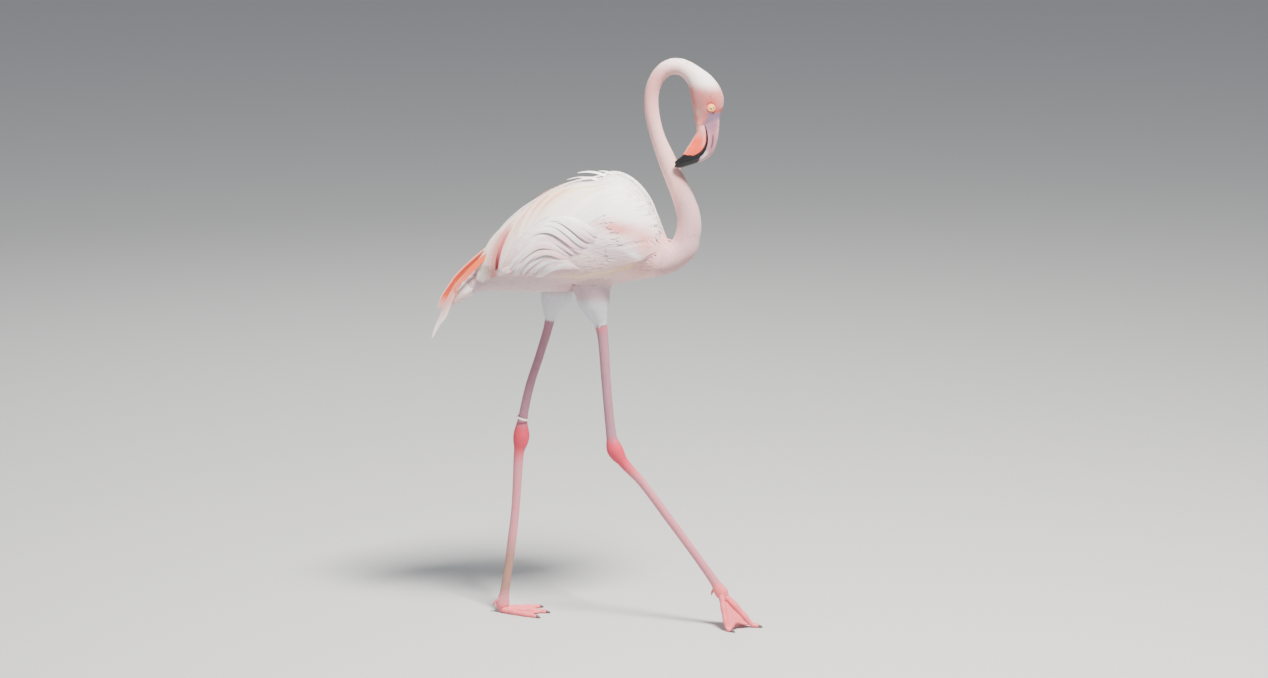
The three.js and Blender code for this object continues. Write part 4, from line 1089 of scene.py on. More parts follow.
class Base:
    """Trunk, neck, head, thighs and tail as one smooth closed mesh, with a tree of nearest places."""

    def __init__(self, cell=2.2, smoothing=18):
        turn = ring_turns(96)
        trunk = tube("base", flank(*np.meshgrid(np.linspace(TRUNK_REAR, TRUNK_FRONT, 180), turn,
                                                indexing="ij")))
        at = np.linspace(4, line.end, 300)
        neck = line.point(at[:, None] + 0 * turn, turn + 0 * at[:, None])
        past = neck[-1] + BILL_WAY * np.array([4.0, 8.0, 12.0])[:, None, None]
        forms = [tube("form", np.concatenate([neck, past]))]
        forms += [tube("form", path_rings(thighs[name], np.linspace(0, 1, 60), 60)) for name in thighs]
        forms.append(tube("form", path_rings(TAIL, np.linspace(0, 0.95, 30), 40)))
        combine(trunk, forms, "UNION")
        cells = trunk.modifiers.new("cells", "REMESH")
        cells.mode, cells.voxel_size = "VOXEL", cell / 1000
        smooth = trunk.modifiers.new("smooth", "SMOOTH")
        smooth.factor, smooth.iterations = 0.5, smoothing
        bpy.context.view_layer.update()
        mesh = trunk.evaluated_get(bpy.context.evaluated_depsgraph_get()).to_mesh()
        normal = read(mesh.vertices, "normal", 3, np.float32)
        faces = [tuple(face.vertices) for face in mesh.polygons]
        self.normals = unit(np.array([normal[list(face)].mean(0) for face in faces]))
        self.tree = BVHTree.FromPolygons(points_of(mesh).tolist(), faces)
        old = trunk.data
        bpy.data.objects.remove(trunk)
        bpy.data.meshes.remove(old)

    def drape(self, points):
        """Nearest places on the base, the normals there, and how far the points are outside it."""
        flat = points.reshape(-1, 3)
        hits = [self.tree.find_nearest(p) for p in flat.tolist()]
        spots = np.array([tuple(hit[0]) for hit in hits])
        normals = self.normals[[hit[2] for hit in hits]]
        outside = ((flat - spots) * normals).sum(1)
        return (spots.reshape(points.shape), normals.reshape(points.shape),
                outside.reshape(points.shape[:-1]))


base = Base()
print("faces of the base:", len(base.normals))

# %% [markdown]
# ## The body's coat
# Contour feathers cover the trunk in rows from the breast back. Each one starts at the skin and rises
# through the coat, so that its tip lies over the roots of the rows behind it. They are long and narrow
# and overlap ten deep, so that the coat looks like one soft surface with a grain.

# %% Contour feathers of the trunk
def body_coat(name, side):
    """Feathers of one side of the trunk, larger on the back than on the breast, slanting down."""
    roots = rows_over(flank, TRUNK_REAR + 4, 143, 4.9, 4.0, waver=0.45)
    turn = np.mod(roots[:, 1], 2 * np.pi)
    roots = np.column_stack([roots[:, 0], turn])[np.cos(turn) * side >= 0]
    roots, first = outside(flank, roots, 2.5)
    x, turn = roots.T
    size = np.interp(x, [-215, -185, -120, 40, 110, 143], [14, 32, 46, 44, 30, 20])
    size = size * rng.uniform(0.85, 1.15, len(x))
    down = -np.cos(turn) * 0.2 + 0.16 * drift(first, 60, 1) + 0.05 * rng.standard_normal(len(x))
    centre, s = lie(flank, roots, size, down, -1, 7)
    spot, normal, _ = base.drape(centre)
    calm = np.linalg.norm(np.diff(spot, axis=1), axis=2).max(1) < 0.27 * size
    x, turn, size, first, spot, normal = (v[calm] for v in (x, turn, size, first, spot, normal))
    top = 0.2 + 0.18 * drift(first, 26, 2) + rng.normal(0, 0.05, len(x))
    centre = spot + normal * through_coat(s, 4.4, top[:, None])[..., None]
    half = (0.094 * size * rng.uniform(0.85, 1.15, len(x)))[:, None] * leaf(s, 0.35, 0.25, 0.8)
    thick = np.full_like(half, 0.15) * (1.1 - 0.8 * s)
    tint = plumage(centre[..., 0], centre[..., 2])
    tint = tint * (1 + 0.012 * rng.standard_normal((len(x), 1, 1)))
    tint = over(tint, WHITE, 0.4 * s**3 + 0 * half)
    tint = over(tint, BLUSH, 0.14 * (1 - s) * (rng.uniform(0, 1, (len(x), 1)) < 0.3))
    place = map_spot(x - TRUNK_REAR, TRUNK_SPAN, turn)
    return vanes(name, centre, normal, half, thick, tint, place, sides=4, roll=-0.09 * side)


coats = [body_coat("coat_body_" + name, side) for name, side in SIDES.items()]
print("trunk's coat:", [triangles(o) for o in coats], "triangles")

# %% [markdown]
# ## Neck, head, thighs and tail root
# These feathers are the smallest, like short fur from a step away. On the head and neck they point
# from the bill back towards the breast. They stop at the bare lores and leave the eyelids free.

# %% Small feathers
def round_the_eye(points):
    """Pushes points away from the eyelids: the distance r from the eye in the side view becomes the
    fourth root of r to the power 4 plus 8.6 to the power 4."""
    away = points - EYE
    r = np.maximum(np.hypot(away[..., 0], away[..., 2]), 0.5)
    grow = np.where(np.abs(away[..., 1]) > 9, (r**4 + 8.6**4) ** 0.25 / r, 1)
    out = points.copy()
    out[..., 0] = EYE[0] + away[..., 0] * grow
    out[..., 2] = EYE[2] + away[..., 2] * grow
    return out, r


def line_coat(name, low, high, step, gap, size, depth, stations, sides, slim, free=None):
    """Feathers on a stretch of the neck's line, in rows, all pointing back towards the breast. `size`
    and `depth` are tables of a feather's length and of the coat's depth along the line."""
    roots = rows_over(line.point, low, high, step, gap, waver=0.45)
    roots, first = outside(line.point, roots, 2.2, free)
    at = roots[:, 0]
    length = np.interp(at, *size) * rng.uniform(0.85, 1.15, len(at))
    slant = 0.16 * drift(first, 22, 3) + 0.07 * rng.standard_normal(len(at))
    centre, s = lie(line.point, roots, length, slant, -1, stations)
    if free is not None:
        centre = round_the_eye(centre)[0]
    spot, normal, _ = base.drape(centre)
    top = 0.07 + 0.06 * drift(first, 9, 4) + rng.normal(0, 0.02, len(at))
    deep = np.interp(at, *depth)
    centre = spot + normal * through_coat(s, deep[:, None], top[:, None], 0.15)[..., None]
    half = (length * slim * rng.uniform(0.85, 1.2, len(at)))[:, None] * leaf(s, 0.3, 0.25, 0.85)
    thick = np.interp(length, [4, 30], [0.09, 0.15])[:, None] * (1.1 - 0.8 * s)
    tint = throat_and_face(centre, at[:, None] + 0 * s)
    tint = tint * (1 + 0.02 * rng.standard_normal((len(at), 1, 1)))
    tint = over(tint, BLUSH, 0.2 * (1 - s) * (rng.uniform(0, 1, (len(at), 1)) < 0.3))
    tint = over(tint, WHITE, 0.12 * s**2)
    place = map_spot(at, line.end, roots[:, 1])
    return vanes(name, centre, normal, half, thick, tint, place, sides=sides)


def off_the_face(points):
    """True where feathers grow: away from the eyelids, and above the lores and the chin."""
    border = np.interp(points[:, 0], [188, 200, 207, 212.5, 218, 226, 240],
                       [922, 923.5, 927, 943, 947.5, 946, 943.5])
    return (round_the_eye(points)[1] > 5.5) & (points[:, 2] > border + rng.uniform(-1, 1, len(points)))


coat_neck = line_coat(
    "coat_neck", line.breast + 22, line.nape, step=2.55, gap=2.25, stations=5, sides=4, slim=0.16,
    size=([line.breast, line.breast + 90, line.nape], [17, 13, 9.5]),
    depth=([line.breast, line.breast + 80, line.nape], [4.3, 2.4, 1.7]))
coat_breast = line_coat(
    "coat_breast", 12, line.breast + 26, step=3.6, gap=3.4, stations=6, sides=4, slim=0.12,
    size=([0, line.breast], [32, 19]), depth=([0], [4.3]))
coat_head = line_coat(
    "coat_head", line.nape, line.end - 1, step=1.6, gap=1.45, stations=5, sides=4, slim=0.175,
    size=([line.nape, line.nape + 60, line.end], [9, 6, 4.6]),
    depth=([line.nape, line.nape + 60, line.end - 16], [1.5, 0.9, 0.42]), free=off_the_face)


def surface_of(path):
    """A path's own surface, as a function of the share t of its length and the turn round it."""
    def surface(t, turn):
        centre, up, side, deep, wide = path.stations(t)
        return centre + up * (deep * np.cos(turn))[..., None] + side * (wide * np.sin(turn))[..., None]

    return surface


def thigh_coat(name):
    """Short feathers of a thigh, pointing down, over a cuff that ends on the bare leg."""
    surface = surface_of(thighs[name])
    roots, first = outside(surface, rows_over(surface, 0.05, 0.87, 2.6, 2.1, waver=0.5), 2)
    t = roots[:, 0]
    length = np.interp(t, [0, 0.7, 0.86], [30, 20, 13]) * rng.uniform(0.8, 1.2, len(t))
    slant = 0.18 * drift(first, 24, 5) + 0.06 * rng.standard_normal(len(t))
    centre, s = lie(surface, roots, length, slant, 1, 6)
    spot, out, _ = base.drape(centre)
    depth = np.interp(t, [0, 0.7, 0.86], [3.4, 2.6, 1.6])[:, None]
    top = 0.25 + 0.12 * drift(first, 10, 6)
    centre = spot + out * through_coat(s, depth, top[:, None])[..., None]
    half = (length * 0.095)[:, None] * leaf(s, 0.35, 0.25, 0.8)
    thick = 0.12 * (1.1 - 0.8 * s) + 0 * half
    # Painted shade: grey-blue white, turning to the belly's shaded pink at the top under the body.
    tint = over(SHADED_THIGH_WHITE, SHADED_BELLY, ease((centre[..., 2] - 592) / 24) * 0.8)
    tint = tint * (1 + 0.03 * rng.standard_normal((len(t), 1, 1)))
    return vanes("coat_thigh_" + name, centre, out, half, thick, tint,
                 map_spot(t, 1, roots[:, 1]), sides=4)


def tail_coat():
    """Soft feathers all round the tail's root, pointing to its tip and ending just before it."""
    surface = surface_of(TAIL)
    roots, first = outside(surface, rows_over(surface, 0.02, 0.72, 3.2, 3.0, waver=0.5), 3)
    t = roots[:, 0]
    length = np.minimum(28, (1 - t) * TAIL.length) * rng.uniform(0.85, 1, len(t))
    centre, s = lie(surface, roots, length, 0.12 * drift(first, 20, 7), 1, 7)
    spot, out, _ = base.drape(centre)
    centre = spot + out * through_coat(s, 3.2, 0.9 + 0.3 * drift(first, 12, 8)[:, None])[..., None]
    half = (length * 0.11)[:, None] * leaf(s, 0.4, 0.25, 0.75)
    thick = 0.16 * (1.1 - 0.8 * s) + 0 * half
    # Whiter higher up as a painted highlight on the tail's top; pinker low down, partly in painted shade.
    tint = over(PALE_PINK, WHITE, 0.35 + 0.4 * ease((centre[..., 2] - 585) / 40))
    tint = tint * (1 + 0.02 * rng.standard_normal((len(t), 1, 1)))
    return vanes("coat_tail", centre, out, half, thick, tint, map_spot(t, 1, roots[:, 1]), sides=4)


coat_thighs = [thigh_coat(name) for name in SIDES]
coat_tail = tail_coat()
print("small feathers:",
      [triangles(o) for o in (coat_neck, coat_breast, coat_head, coat_tail, *coat_thighs)])

# %% [markdown]
# ## The folded wings
# Over the contour feathers lie the wing's own. Long shoulder feathers run from the back down to the
# rump. The wing's coverts bunch into soft ruffles behind the shoulder, and arch over before they
# droop. A few guide lines in the side view set the course of each group, and the feathers between two
# guides are mixes of them.

# %% Guide lines of the wing
def resample(points, count):
    """Points at equal steps of length along a smooth line through the given ones."""
    path = Path([[x, 0, z, 1, 1] for x, z in points])
    return path.point(np.linspace(0, 1, count))[:, [0, 2]]


# From the front of the back to the rump; each line runs from a feather's root to its tip.
SHOULDER_GUIDES = [
    [(130, 724), (104, 722), (70, 716), (32, 712)], [(126, 744), (96, 742), (60, 734), (24, 724)],
    [(116, 768), (82, 764), (44, 752), (8, 734)], [(98, 790), (52, 776), (16, 756), (-8, 742)],
    [(70, 812), (22, 796), (-14, 772), (-38, 750)], [(25, 809), (-21, 799), (-56, 779), (-86, 748)],
    [(-4, 808), (-49, 797), (-80, 775), (-112, 722)],
    [(-36, 800), (-79, 783), (-109, 757), (-136, 700)],
    [(-66, 790), (-102, 764), (-130, 722), (-150, 668)],
    [(-92, 776), (-124, 748), (-147, 706), (-158, 650)],
    [(-114, 760), (-142, 728), (-162, 690), (-168, 638)],
    [(-132, 748), (-158, 716), (-176, 678), (-184, 630)],
    [(-150, 730), (-176, 700), (-192, 662), (-200, 628)],
]
RUFFLE_GUIDES = [
    [(34, 726), (18, 738), (0, 748), (-22, 757), (-44, 758)],
    [(24, 714), (6, 727), (-14, 741), (-36, 752), (-62, 752), (-80, 742)],
    [(16, 703), (-4, 716), (-24, 731), (-46, 743), (-68, 744), (-90, 732), (-100, 716)],
    [(6, 694), (-14, 708), (-36, 724), (-60, 734), (-84, 730), (-106, 714), (-120, 692)],
    [(-8, 686), (-28, 700), (-52, 716), (-76, 718), (-98, 708), (-120, 688), (-140, 660)],
    [(-16, 678), (-38, 692), (-60, 702), (-80, 702), (-100, 690), (-118, 670), (-132, 648)],
    [(-10, 668), (-32, 682), (-52, 688), (-72, 682), (-92, 666), (-106, 646)],
    [(4, 660), (-18, 672), (-38, 674), (-58, 668), (-78, 650)],
]
BREAST_GUIDES = [
    [(130, 716), (104, 712), (72, 708), (38, 708)], [(130, 702), (102, 697), (70, 693), (34, 694)],
    [(122, 689), (92, 684), (62, 678), (26, 680)], [(106, 682), (76, 673), (48, 664), (14, 668)],
    [(84, 675), (56, 664), (28, 654), (-6, 658)], [(60, 668), (34, 656), (6, 648), (-26, 652)],
]
ROSE_GUIDES = [
    [(-110, 765), (-121, 750), (-135, 730), (-147, 708), (-156, 684), (-161, 657)],
    [(-115, 764), (-127, 747), (-141, 726), (-152, 704), (-159, 682), (-162, 655)],
]
TUFT_GUIDES = [
    [(-128, 668), (-139, 664), (-150, 659), (-159, 651)],
    [(-126, 660), (-138, 657), (-149, 652), (-158, 644)],
]


def between(guides, at, share):
    """Lines read at `share` of their length, each a mix of the two guides that `at` falls between."""
    lines = np.stack([resample(guide, 60) for guide in guides])
    low = np.clip(at.astype(int), 0, len(guides) - 2)
    part = (at - low)[:, None, None]
    mixed = lines[low] * (1 - part) + lines[low + 1] * part
    step = np.clip(share, 0, 1) * 59
    i = np.minimum(step.astype(int), 58)
    row = np.arange(len(at))[:, None]
    part = (step - i)[..., None]
    return mixed[row, i] * (1 - part) + mixed[row, i + 1] * part


def wing_feathers(name, side, groups, stations, sides):
    """Feathers of one wing, one object. A group has its guides, count and half width, the shares of
    the guide where its feathers start and how much of it they cover, the heights at root, middle and
    tip, the height of its bunches and how many there are for each guide, the roll that lays one
    feather over the next, and its colours. A bunch rises evenly, then drops at once, as a saw does."""
    parts = []
    for guides, count, half_width, start, cover, lifts, (bunch, often), roll, colours in groups:
        at = (np.arange(count) + 0.5 + 0.5 * rng.uniform(-1, 1, count)) / count * (len(guides) - 1)
        s = np.linspace(0, 1, stations)
        first = rng.uniform(*start, count)
        share = first[:, None] + np.minimum(rng.uniform(*cover, count), 1 - first)[:, None] * s
        stray = rng.normal(0, 1.1, (count, 1, 2)) * s[:, None]
        x, z = np.moveaxis(between(guides, at, share) + stray, -1, 0)
        turn = body_turn(x, z, side)
        at_root, at_middle, at_tip = lifts
        rise = np.interp(s, [0, 0.12, 0.3, 0.6, 1],
                         [at_root, at_root * 0.3, at_middle * 0.6, at_middle, at_tip])
        saw = at * often + 0.25 * np.sin(at * 2.3 + 1)
        swell = bunch * (saw - np.floor(saw))[:, None] * np.sin(np.pi * np.clip(s * 1.15, 0, 1)) ** 0.7
        rise = rise + swell + rng.normal(0, 0.1, (count, 1))
        centre = flank(x, turn, rise)
        normal = body_normal(x, turn)
        half = half_width * rng.uniform(0.85, 1.15, (count, 1)) * leaf(s, 0.55, 0.3, 0.6)
        thick = np.full_like(half, 0.24) * (1.15 - 0.8 * s)
        tint = colours(at[:, None] + 0 * s, share, x, z)
        tint = tint * (1 + 0.015 * rng.standard_normal((count, 1, 1)))
        place = map_spot(x[:, 2] - TRUNK_REAR, TRUNK_SPAN, turn[:, 2])
        tilt = -side * roll * rng.uniform(0.7, 1.3, (count, 1)) * np.minimum(1, s / 0.3)
        parts.append((centre, normal, half, thick, tint, place, tilt))
    joined = [np.concatenate(part) for part in zip(*parts)]
    return vanes(name, *joined[:6], camber=0.05, sides=sides, roll=joined[6])


def shoulder_colours(at, s, x, z):
    """As the plumage in front, then white, with cream and peach bases between the streaks."""
    tint = over(plumage(x, z), WHITE, 0.8 * ease((at - 2) / 1.5))
    streak = 0.5 + 0.5 * np.sin(at * 8.5 + 0.6 * np.sin(at * 3))
    tint = over(tint, PEACH, np.clip(1.6 * (1.15 - s), 0, 0.8) * streak**1.8 * ease((at - 4) / 1.5)
                * ease((11.2 - at) / 1.5))
    tint = over(tint, CREAM, 0.7 * ease(1.4 - s) * (1 - streak) ** 2 * ease((at - 3) / 2))
    return over(tint, BLUSH, 0.75 * np.exp(-((at - 10.0) / 0.8) ** 2) * ease((s - 0.1) * 3))


def rose_colours(at, s, x, z):
    """Rose, pale where it comes out of the white feathers and darkest at the bottom."""
    tint = over(over(BLUSH, WHITE, 0.4), ROSE, ease((s - 0.1) / 0.5))
    return over(tint, DARK_ROSE, ease((s - 0.62) / 0.3))


def tuft_colours(at, s, x, z):
    """Pale pink with white tips."""
    return over(BLUSH, WHITE, 0.4 + 0.5 * s)


def ruffle_colours(at, s, x, z):
    """White crests, greyer and lilac towards the roots as painted shade under the ruffle above."""
    tint = over(WHITE, LILAC_SHADE, 0.7 * np.clip(1 - 1.6 * s, 0, 1))
    return over(tint, PALE_PINK, 0.6 * (0.5 + 0.5 * np.sin(at * 11)) * ease((748 - z) / 30))


def breast_colours(at, s, x, z):
    """As the plumage under them, a little whiter at the tips."""
    return over(plumage(x, z), WHITE, 0.25 * s)


LONG_GROUPS = [
    (SHOULDER_GUIDES[3:], 104, 5.0, (0, 0.1), (0.9, 1), (-3.6, 1.2, 1.2), (1.1, 1.3), -0.15,
     lambda at, s, x, z: shoulder_colours(at + 3, s, x, z)),
    (ROSE_GUIDES, 6, 2.2, (0, 0.03), (0.97, 1), (-2.0, 3.3, 2.7), (0, 1), -0.1, rose_colours),
    (TUFT_GUIDES, 5, 3.4, (0, 0.1), (0.9, 1), (-2.0, 2.4, 1.6), (0.6, 1), 0.1, tuft_colours),
    (RUFFLE_GUIDES, 56, 4.6, (0, 0.14), (0.75, 1), (-2.5, 1.6, 1.2), (4.6, 0.9), 0.18, ruffle_colours),
]
SHORT_GROUPS = [
    (SHOULDER_GUIDES, 430, 3.3, (-0.04, 0.42), (0.28, 0.42), (-4.4, 0.8, 1.2), (0, 1), -0.14,
     shoulder_colours),
    (BREAST_GUIDES, 250, 2.6, (-0.04, 0.66), (0.26, 0.4), (-4.4, 0.1, 0.5), (0.3, 1), 0.08,
     breast_colours),
    (RUFFLE_GUIDES[3:], 120, 3.0, (0.0, 0.6), (0.3, 0.45), (-3.0, 1.6, 1.8), (1.5, 1), 0.2,
     ruffle_colours),
]
plumes = {name: wing_feathers("plumes_wing_" + name, side, LONG_GROUPS, 20, 8)
          for name, side in SIDES.items()}
coverts = {name: wing_feathers("coverts_wing_" + name, side, SHORT_GROUPS, 9, 6)
           for name, side in SIDES.items()}
print("wing feathers:", [triangles(o) for o in (*plumes.values(), *coverts.values())])

# %% [markdown]
# ## Wing tips and tail
# The folded wing's coral feathers stick out behind the white ones, and a long pale one droops past
# them. The tail is a short fan under them. These feathers hang free, so their lines are paths in space.

# %% Tips and tail
def free_plumes(name, rows, root_place):
    """Feathers that hang free. Each has a path, half width, thickness, a direction that its flat side
    faces, three or four colours from root to tip, and the shares where it narrows and is full."""
    stations = 26
    s = np.linspace(0, 1, stations)
    centre, normal, half, thick, tint, place = [], [], [], [], [], []
    for k, (points, half_width, depth, facing, colours, blunt, start) in enumerate(rows):
        path = Path([[*p, 1, 1] for p in points])
        centre.append(path.point(s))
        normal.append(np.broadcast_to(unit(np.array(facing, float)), (stations, 3)))
        half.append(half_width * leaf(s, blunt, start, 0.65))
        thick.append(depth * (1.1 - 0.7 * s))
        stops = [0, 0.5, 1] if len(colours) == 3 else [0, 0.45, 0.84, 1]
        shades = np.stack([np.interp(s, stops, [c[i] for c in colours]) for i in range(3)], -1)
        tint.append(shades)
        place.append([root_place[0] + 0.004 * k, root_place[1] + 0.006 * k])
    return vanes(name, np.array(centre), np.array(normal), np.array(half), np.array(thick),
                 np.array(tint), np.array(place), camber=0.1, sides=8)


def beside(points, step):
    """The same line moved sideways in the side view by `step`, square to its run from end to end."""
    points = np.array(points, float)
    run = unit(points[-1] - points[0])
    return points + np.array([-run[2], 0, run[0]]) * step


def tip_near():
    """Right wing's tip: coral feathers that end early, and the long pale ones that droop below."""
    rows = []
    coral = [(-160, -29, 696), (-191, -31, 672), (-207, -33, 657), (-223, -34, 640), (-237, -34, 625)]
    pale_end = over(CORAL, PALE_PINK, 0.35)
    for k, step in enumerate((-0.9, 0.4, 1.7, 3.0, 4.3)):
        line_points = beside(coral + [(-246 + 2 * k, -34, 612 - k)], step)
        deep = over(CORAL, DEEP_CORAL, 0.6 if k % 2 else 0.1)
        rows.append((line_points - [0, 0.5 * k, 0], 2.2, 0.3, (0.1, -1, 0.3 + 0.3 * (k % 2)),
                     (deep, deep, pale_end), 0.6, 0.2))
    droop = [(-222, -33, 642), (-238, -33.5, 620), (-247, -33.6, 602), (-254, -33.2, 585)]
    for k, step in enumerate((0, 1.5, 3.0)):
        end = [(-262 + k, -32.6, 568), (-271.5 + 2 * k, -31.8, 550 + 3 * k),
               (-282 + 6 * k, -31, 525 + 13 * k)]
        rows.append((beside(droop + end, step) - [0, 0.4 * k, 0], 4.8 - 0.5 * k, 0.4, (0.1, -1, 0.2),
                     (over(CORAL, PALE_PINK, 0.5), over(PALE_PINK, BLUSH, 0.35), WHITE), 0.42, 0.45))
    return free_plumes("plumes_tip_right", rows, (0.05, 0.55))


def tip_far():
    """Left wing's tip: a strip of coral feathers with a pale upper edge and pale ends."""
    rows = []
    strip = [(-158, 26, 704), (-192, 27, 679.5), (-223, 28.5, 652.5), (-246, 28.5, 629), (-262, 27, 606)]
    for k, step in enumerate((-0.2, 0.8, 3.0, 5.2, 7.4, 9.4)):
        end = [(-273 + k, 26, 588 - k), (-280.5 + 1.2 * k, 25.5, 566 + 1.6 * k)]
        root = over(WHITE, PALE_PINK, 0.5) if k == 0 else CORAL
        middle = PALE_PINK if k == 0 else over(DEEP_CORAL, CORAL, 0.45)
        colours = (root, middle, middle, over(CORAL, PALE_PINK, 0.85))
        rows.append((beside(strip + end, step) + [0, 0.45 * k, 0], 1.0 if k == 0 else 2.9, 0.3,
                     (0.1, -1, 0.35 + 0.25 * (k % 2)), colours, 0.6, 0.15))
    return free_plumes("plumes_tip_left", rows, (0.05, 0.05))


def tail_fan():
    """Tail: a fan of feathers in two layers, over the soft feathers of its root."""
    rows = []
    pale = over(PALE_PINK, WHITE, 0.5)
    for rise, length, count in ((9, 0.96, 9), (2, 1.0, 11)):
        for k in range(count):
            f = (k - (count - 1) / 2) / ((count - 1) / 2)
            spread = 17 * f
            end = np.array([-206 - 46 * length, spread * 1.1, 629 - 47 * length + rise * 0.25])
            start = np.array([-186, spread * 0.75, 640 + rise * 0.7])
            middle = (start + end) / 2 + [-2, 0, 3 + rise * 0.35]
            early = start + (middle - start) * 0.4 + [0, 0, 1.5]
            rows.append(([start, early, middle, end], 6.8, 0.5, (-0.55, 0.5 * f, 0.8),
                         (pale, pale, PALE_PINK), 0.5, 0.2))
    return free_plumes("plumes_tail", rows, (0.03, 0.3))


# White feathers that stand off the back: path, half width, thickness, sideways lean, narrowing.
LOOSE = [
    ([(46, -20, 819), (20, -17, 829), (0, -14, 831), (-20, -12, 828)], 5.5, 0.4, -0.2, 0.2),
    ([(30, -26, 813), (8, -23, 821), (-17, -20, 821)], 4.5, 0.4, -0.3, 0.2),
    ([(52, -14, 824), (34, -12, 831), (18, -10, 832)], 4.0, 0.35, -0.1, 0.3),
    ([(10, -8, 816), (-14, -6, 820), (-40, -4, 814)], 6.0, 0.4, 0, 0.3)]
loose_rows = [(points, half, thick, (0, lean, 1), (WHITE,) * 3, blunt, 0.3)
              for points, half, thick, lean, blunt in LOOSE]
tips = {"right": tip_near(), "left": tip_far()}
tail = tail_fan()
loose = free_plumes("plumes_loose", loose_rows, (0.7, 0.3))
print("tips and tail:", [triangles(o) for o in (*tips.values(), tail, loose)])

# %% [markdown]
# ## Finishes
# Shader maths is written as Python: a small class wraps a socket, and +, -, * and the rest add Math
# nodes. All finishes but the plain ones start from the `tint` that the mesh carries, and add what is
# too fine to be shape: barbs on a feather, plates on a leg, growth lines on horn.

# %% Shader tools
class Wire:
    """A number or colour coming out of a node. Python's operators on it add Math nodes."""

    def __init__(self, finish, socket):
        self.finish, self.socket = finish, socket

    def _maths(self, operation, *values):
        node = self.finish.node("ShaderNodeMath", {"operation": operation}, dict(enumerate(values)))
        return Wire(self.finish, node.outputs[0])

    def __add__(self, other):
        return self._maths("ADD", self, other)

    def __sub__(self, other):
        return self._maths("SUBTRACT", self, other)

    def __rsub__(self, other):
        return self._maths("SUBTRACT", other, self)

    def __mul__(self, other):
        return self._maths("MULTIPLY", self, other)

    def __truediv__(self, other):
        return self._maths("DIVIDE", self, other)

    __radd__ = __add__
    __rmul__ = __mul__

    def sin(self):
        return self._maths("SINE", self)

    def abs(self):
        return self._maths("ABSOLUTE", self)

    def clamp(self):
        node = self.finish.node("ShaderNodeClamp", {}, {0: self})
        return Wire(self.finish, node.outputs[0])


class Finish:
    """One material under construction, with its Principled shader ready."""

    def __init__(self, name, **constants):
        self.material = bpy.data.materials.new(name)
        self.material.use_nodes = True
        self.tree = self.material.node_tree
        self.shader = self.tree.nodes["Principled BSDF"]
        for key, value in constants.items():
            self.shader.inputs[key.replace("_", " ")].default_value = value

    def node(self, kind, settings, inputs):
        """Adds a node, sets its settings, then gives each input its number, colour or link."""
        node = self.tree.nodes.new(kind)
        for key, value in settings.items():
            setattr(node, key, value)
        for key, value in inputs.items():
            if isinstance(value, Wire):
                self.tree.links.new(value.socket, node.inputs[key])
            else:
                node.inputs[key].default_value = value
        return node

    def out(self, node, which=0):
        return Wire(self, node.outputs[which])

    def attribute(self, name, which="Color"):
        return self.out(self.node("ShaderNodeAttribute", {"attribute_name": name}, {}), which)

    def place(self):
        """Place on the object, in millimetres, as a vector."""
        spot = self.out(self.node("ShaderNodeTexCoord", {}, {}), "Object")
        return self.out(self.node("ShaderNodeVectorMath", {"operation": "SCALE"},
                                  {0: spot, "Scale": 1000.0}))

    def noise(self, vector, scale, detail=3.0, rough=0.55):
        return self.out(self.node("ShaderNodeTexNoise", {}, {
            "Vector": vector, "Scale": scale, "Detail": detail, "Roughness": rough}))

    def stretch(self, vector, scale):
        return self.out(self.node("ShaderNodeMapping", {}, {"Vector": vector, "Scale": scale}))

    def split(self, vector):
        node = self.node("ShaderNodeSeparateXYZ", {}, {0: vector})
        return [Wire(self, node.outputs[k]) for k in range(3)]

    def mix(self, factor, a, b, blend="MIX"):
        node = self.node("ShaderNodeMix", {"data_type": "RGBA", "blend_type": blend},
                         {0: factor, 6: a, 7: b})
        return Wire(self, node.outputs[2])

    def bump(self, height, strength, distance):
        node = self.node("ShaderNodeBump", {}, {"Height": height, "Strength": strength,
                                                "Distance": distance})
        self.tree.links.new(node.outputs[0], self.shader.inputs["Normal"])

    def base(self, wire):
        self.tree.links.new(wire.socket, self.shader.inputs["Base Color"])

    def rough(self, wire):
        self.tree.links.new(wire.socket, self.shader.inputs["Roughness"])


def rgba(linear):
    """Linear colour with an alpha of one, as a colour socket takes it."""
    return (*[float(c) for c in linear], 1.0)


# %% [markdown]
# ## Feather finish
# A vane's barbs are fine parallel rods that slant back from the shaft. The pattern reads the vane's own
# map, in centimetres across and along, so barbs stay the same size on every feather.

# %% Feather finish
def feather_finish(name, barb_strength):
    """Tint, darkened a little between barbs and along splits, with barbs as bump. A barb line is
    sin of the way along plus 0.7 of the distance from the shaft, times 2 pi over the spacing."""
    finish = Finish(name, Sheen_Weight=0.25, Sheen_Roughness=0.5, Specular_IOR_Level=0.2,
                    Subsurface_Weight=0.18, Subsurface_Scale=0.004)
    finish.shader.inputs["Subsurface Radius"].default_value = (1.0, 0.5, 0.4)
    uv = finish.out(finish.node("ShaderNodeUVMap", {"uv_map": "vane"}, {}))
    across, run, _ = finish.split(uv)
    wobble = finish.noise(uv, 2.2, 2.0)
    barb = (((run + across.abs() * 0.7) * 96.0 + wobble * 14.0).sin()) * 0.5 + 0.5
    clump = finish.noise(finish.place(), 0.11, 3.0)
    tint = finish.attribute("tint")
    shade = finish.mix(0.22, tint, tint, "MULTIPLY")
    factor = (barb * 0.35 + clump * 0.7 + 0.2).clamp()
    finish.base(finish.mix(factor, shade, tint))
    finish.rough(clump * 0.2 + 0.68)
    finish.bump(barb * 0.6 + wobble * 0.6, barb_strength, 0.0004)
    return finish.material


body_feather = feather_finish("contour_vane", 0.18)
fine_feather = feather_finish("down_vane", 0.1)
flight_feather = feather_finish("quill_vane", 0.25)
print("feather finishes:", 3)

# %% [markdown]
# ## Skin, horn and eye finishes
# A flamingo's leg is covered with small plates of horn. Their outlines are the borders of a cell
# pattern, stretched round the leg. The bill is horn with fine lines along it. The eye is wet.

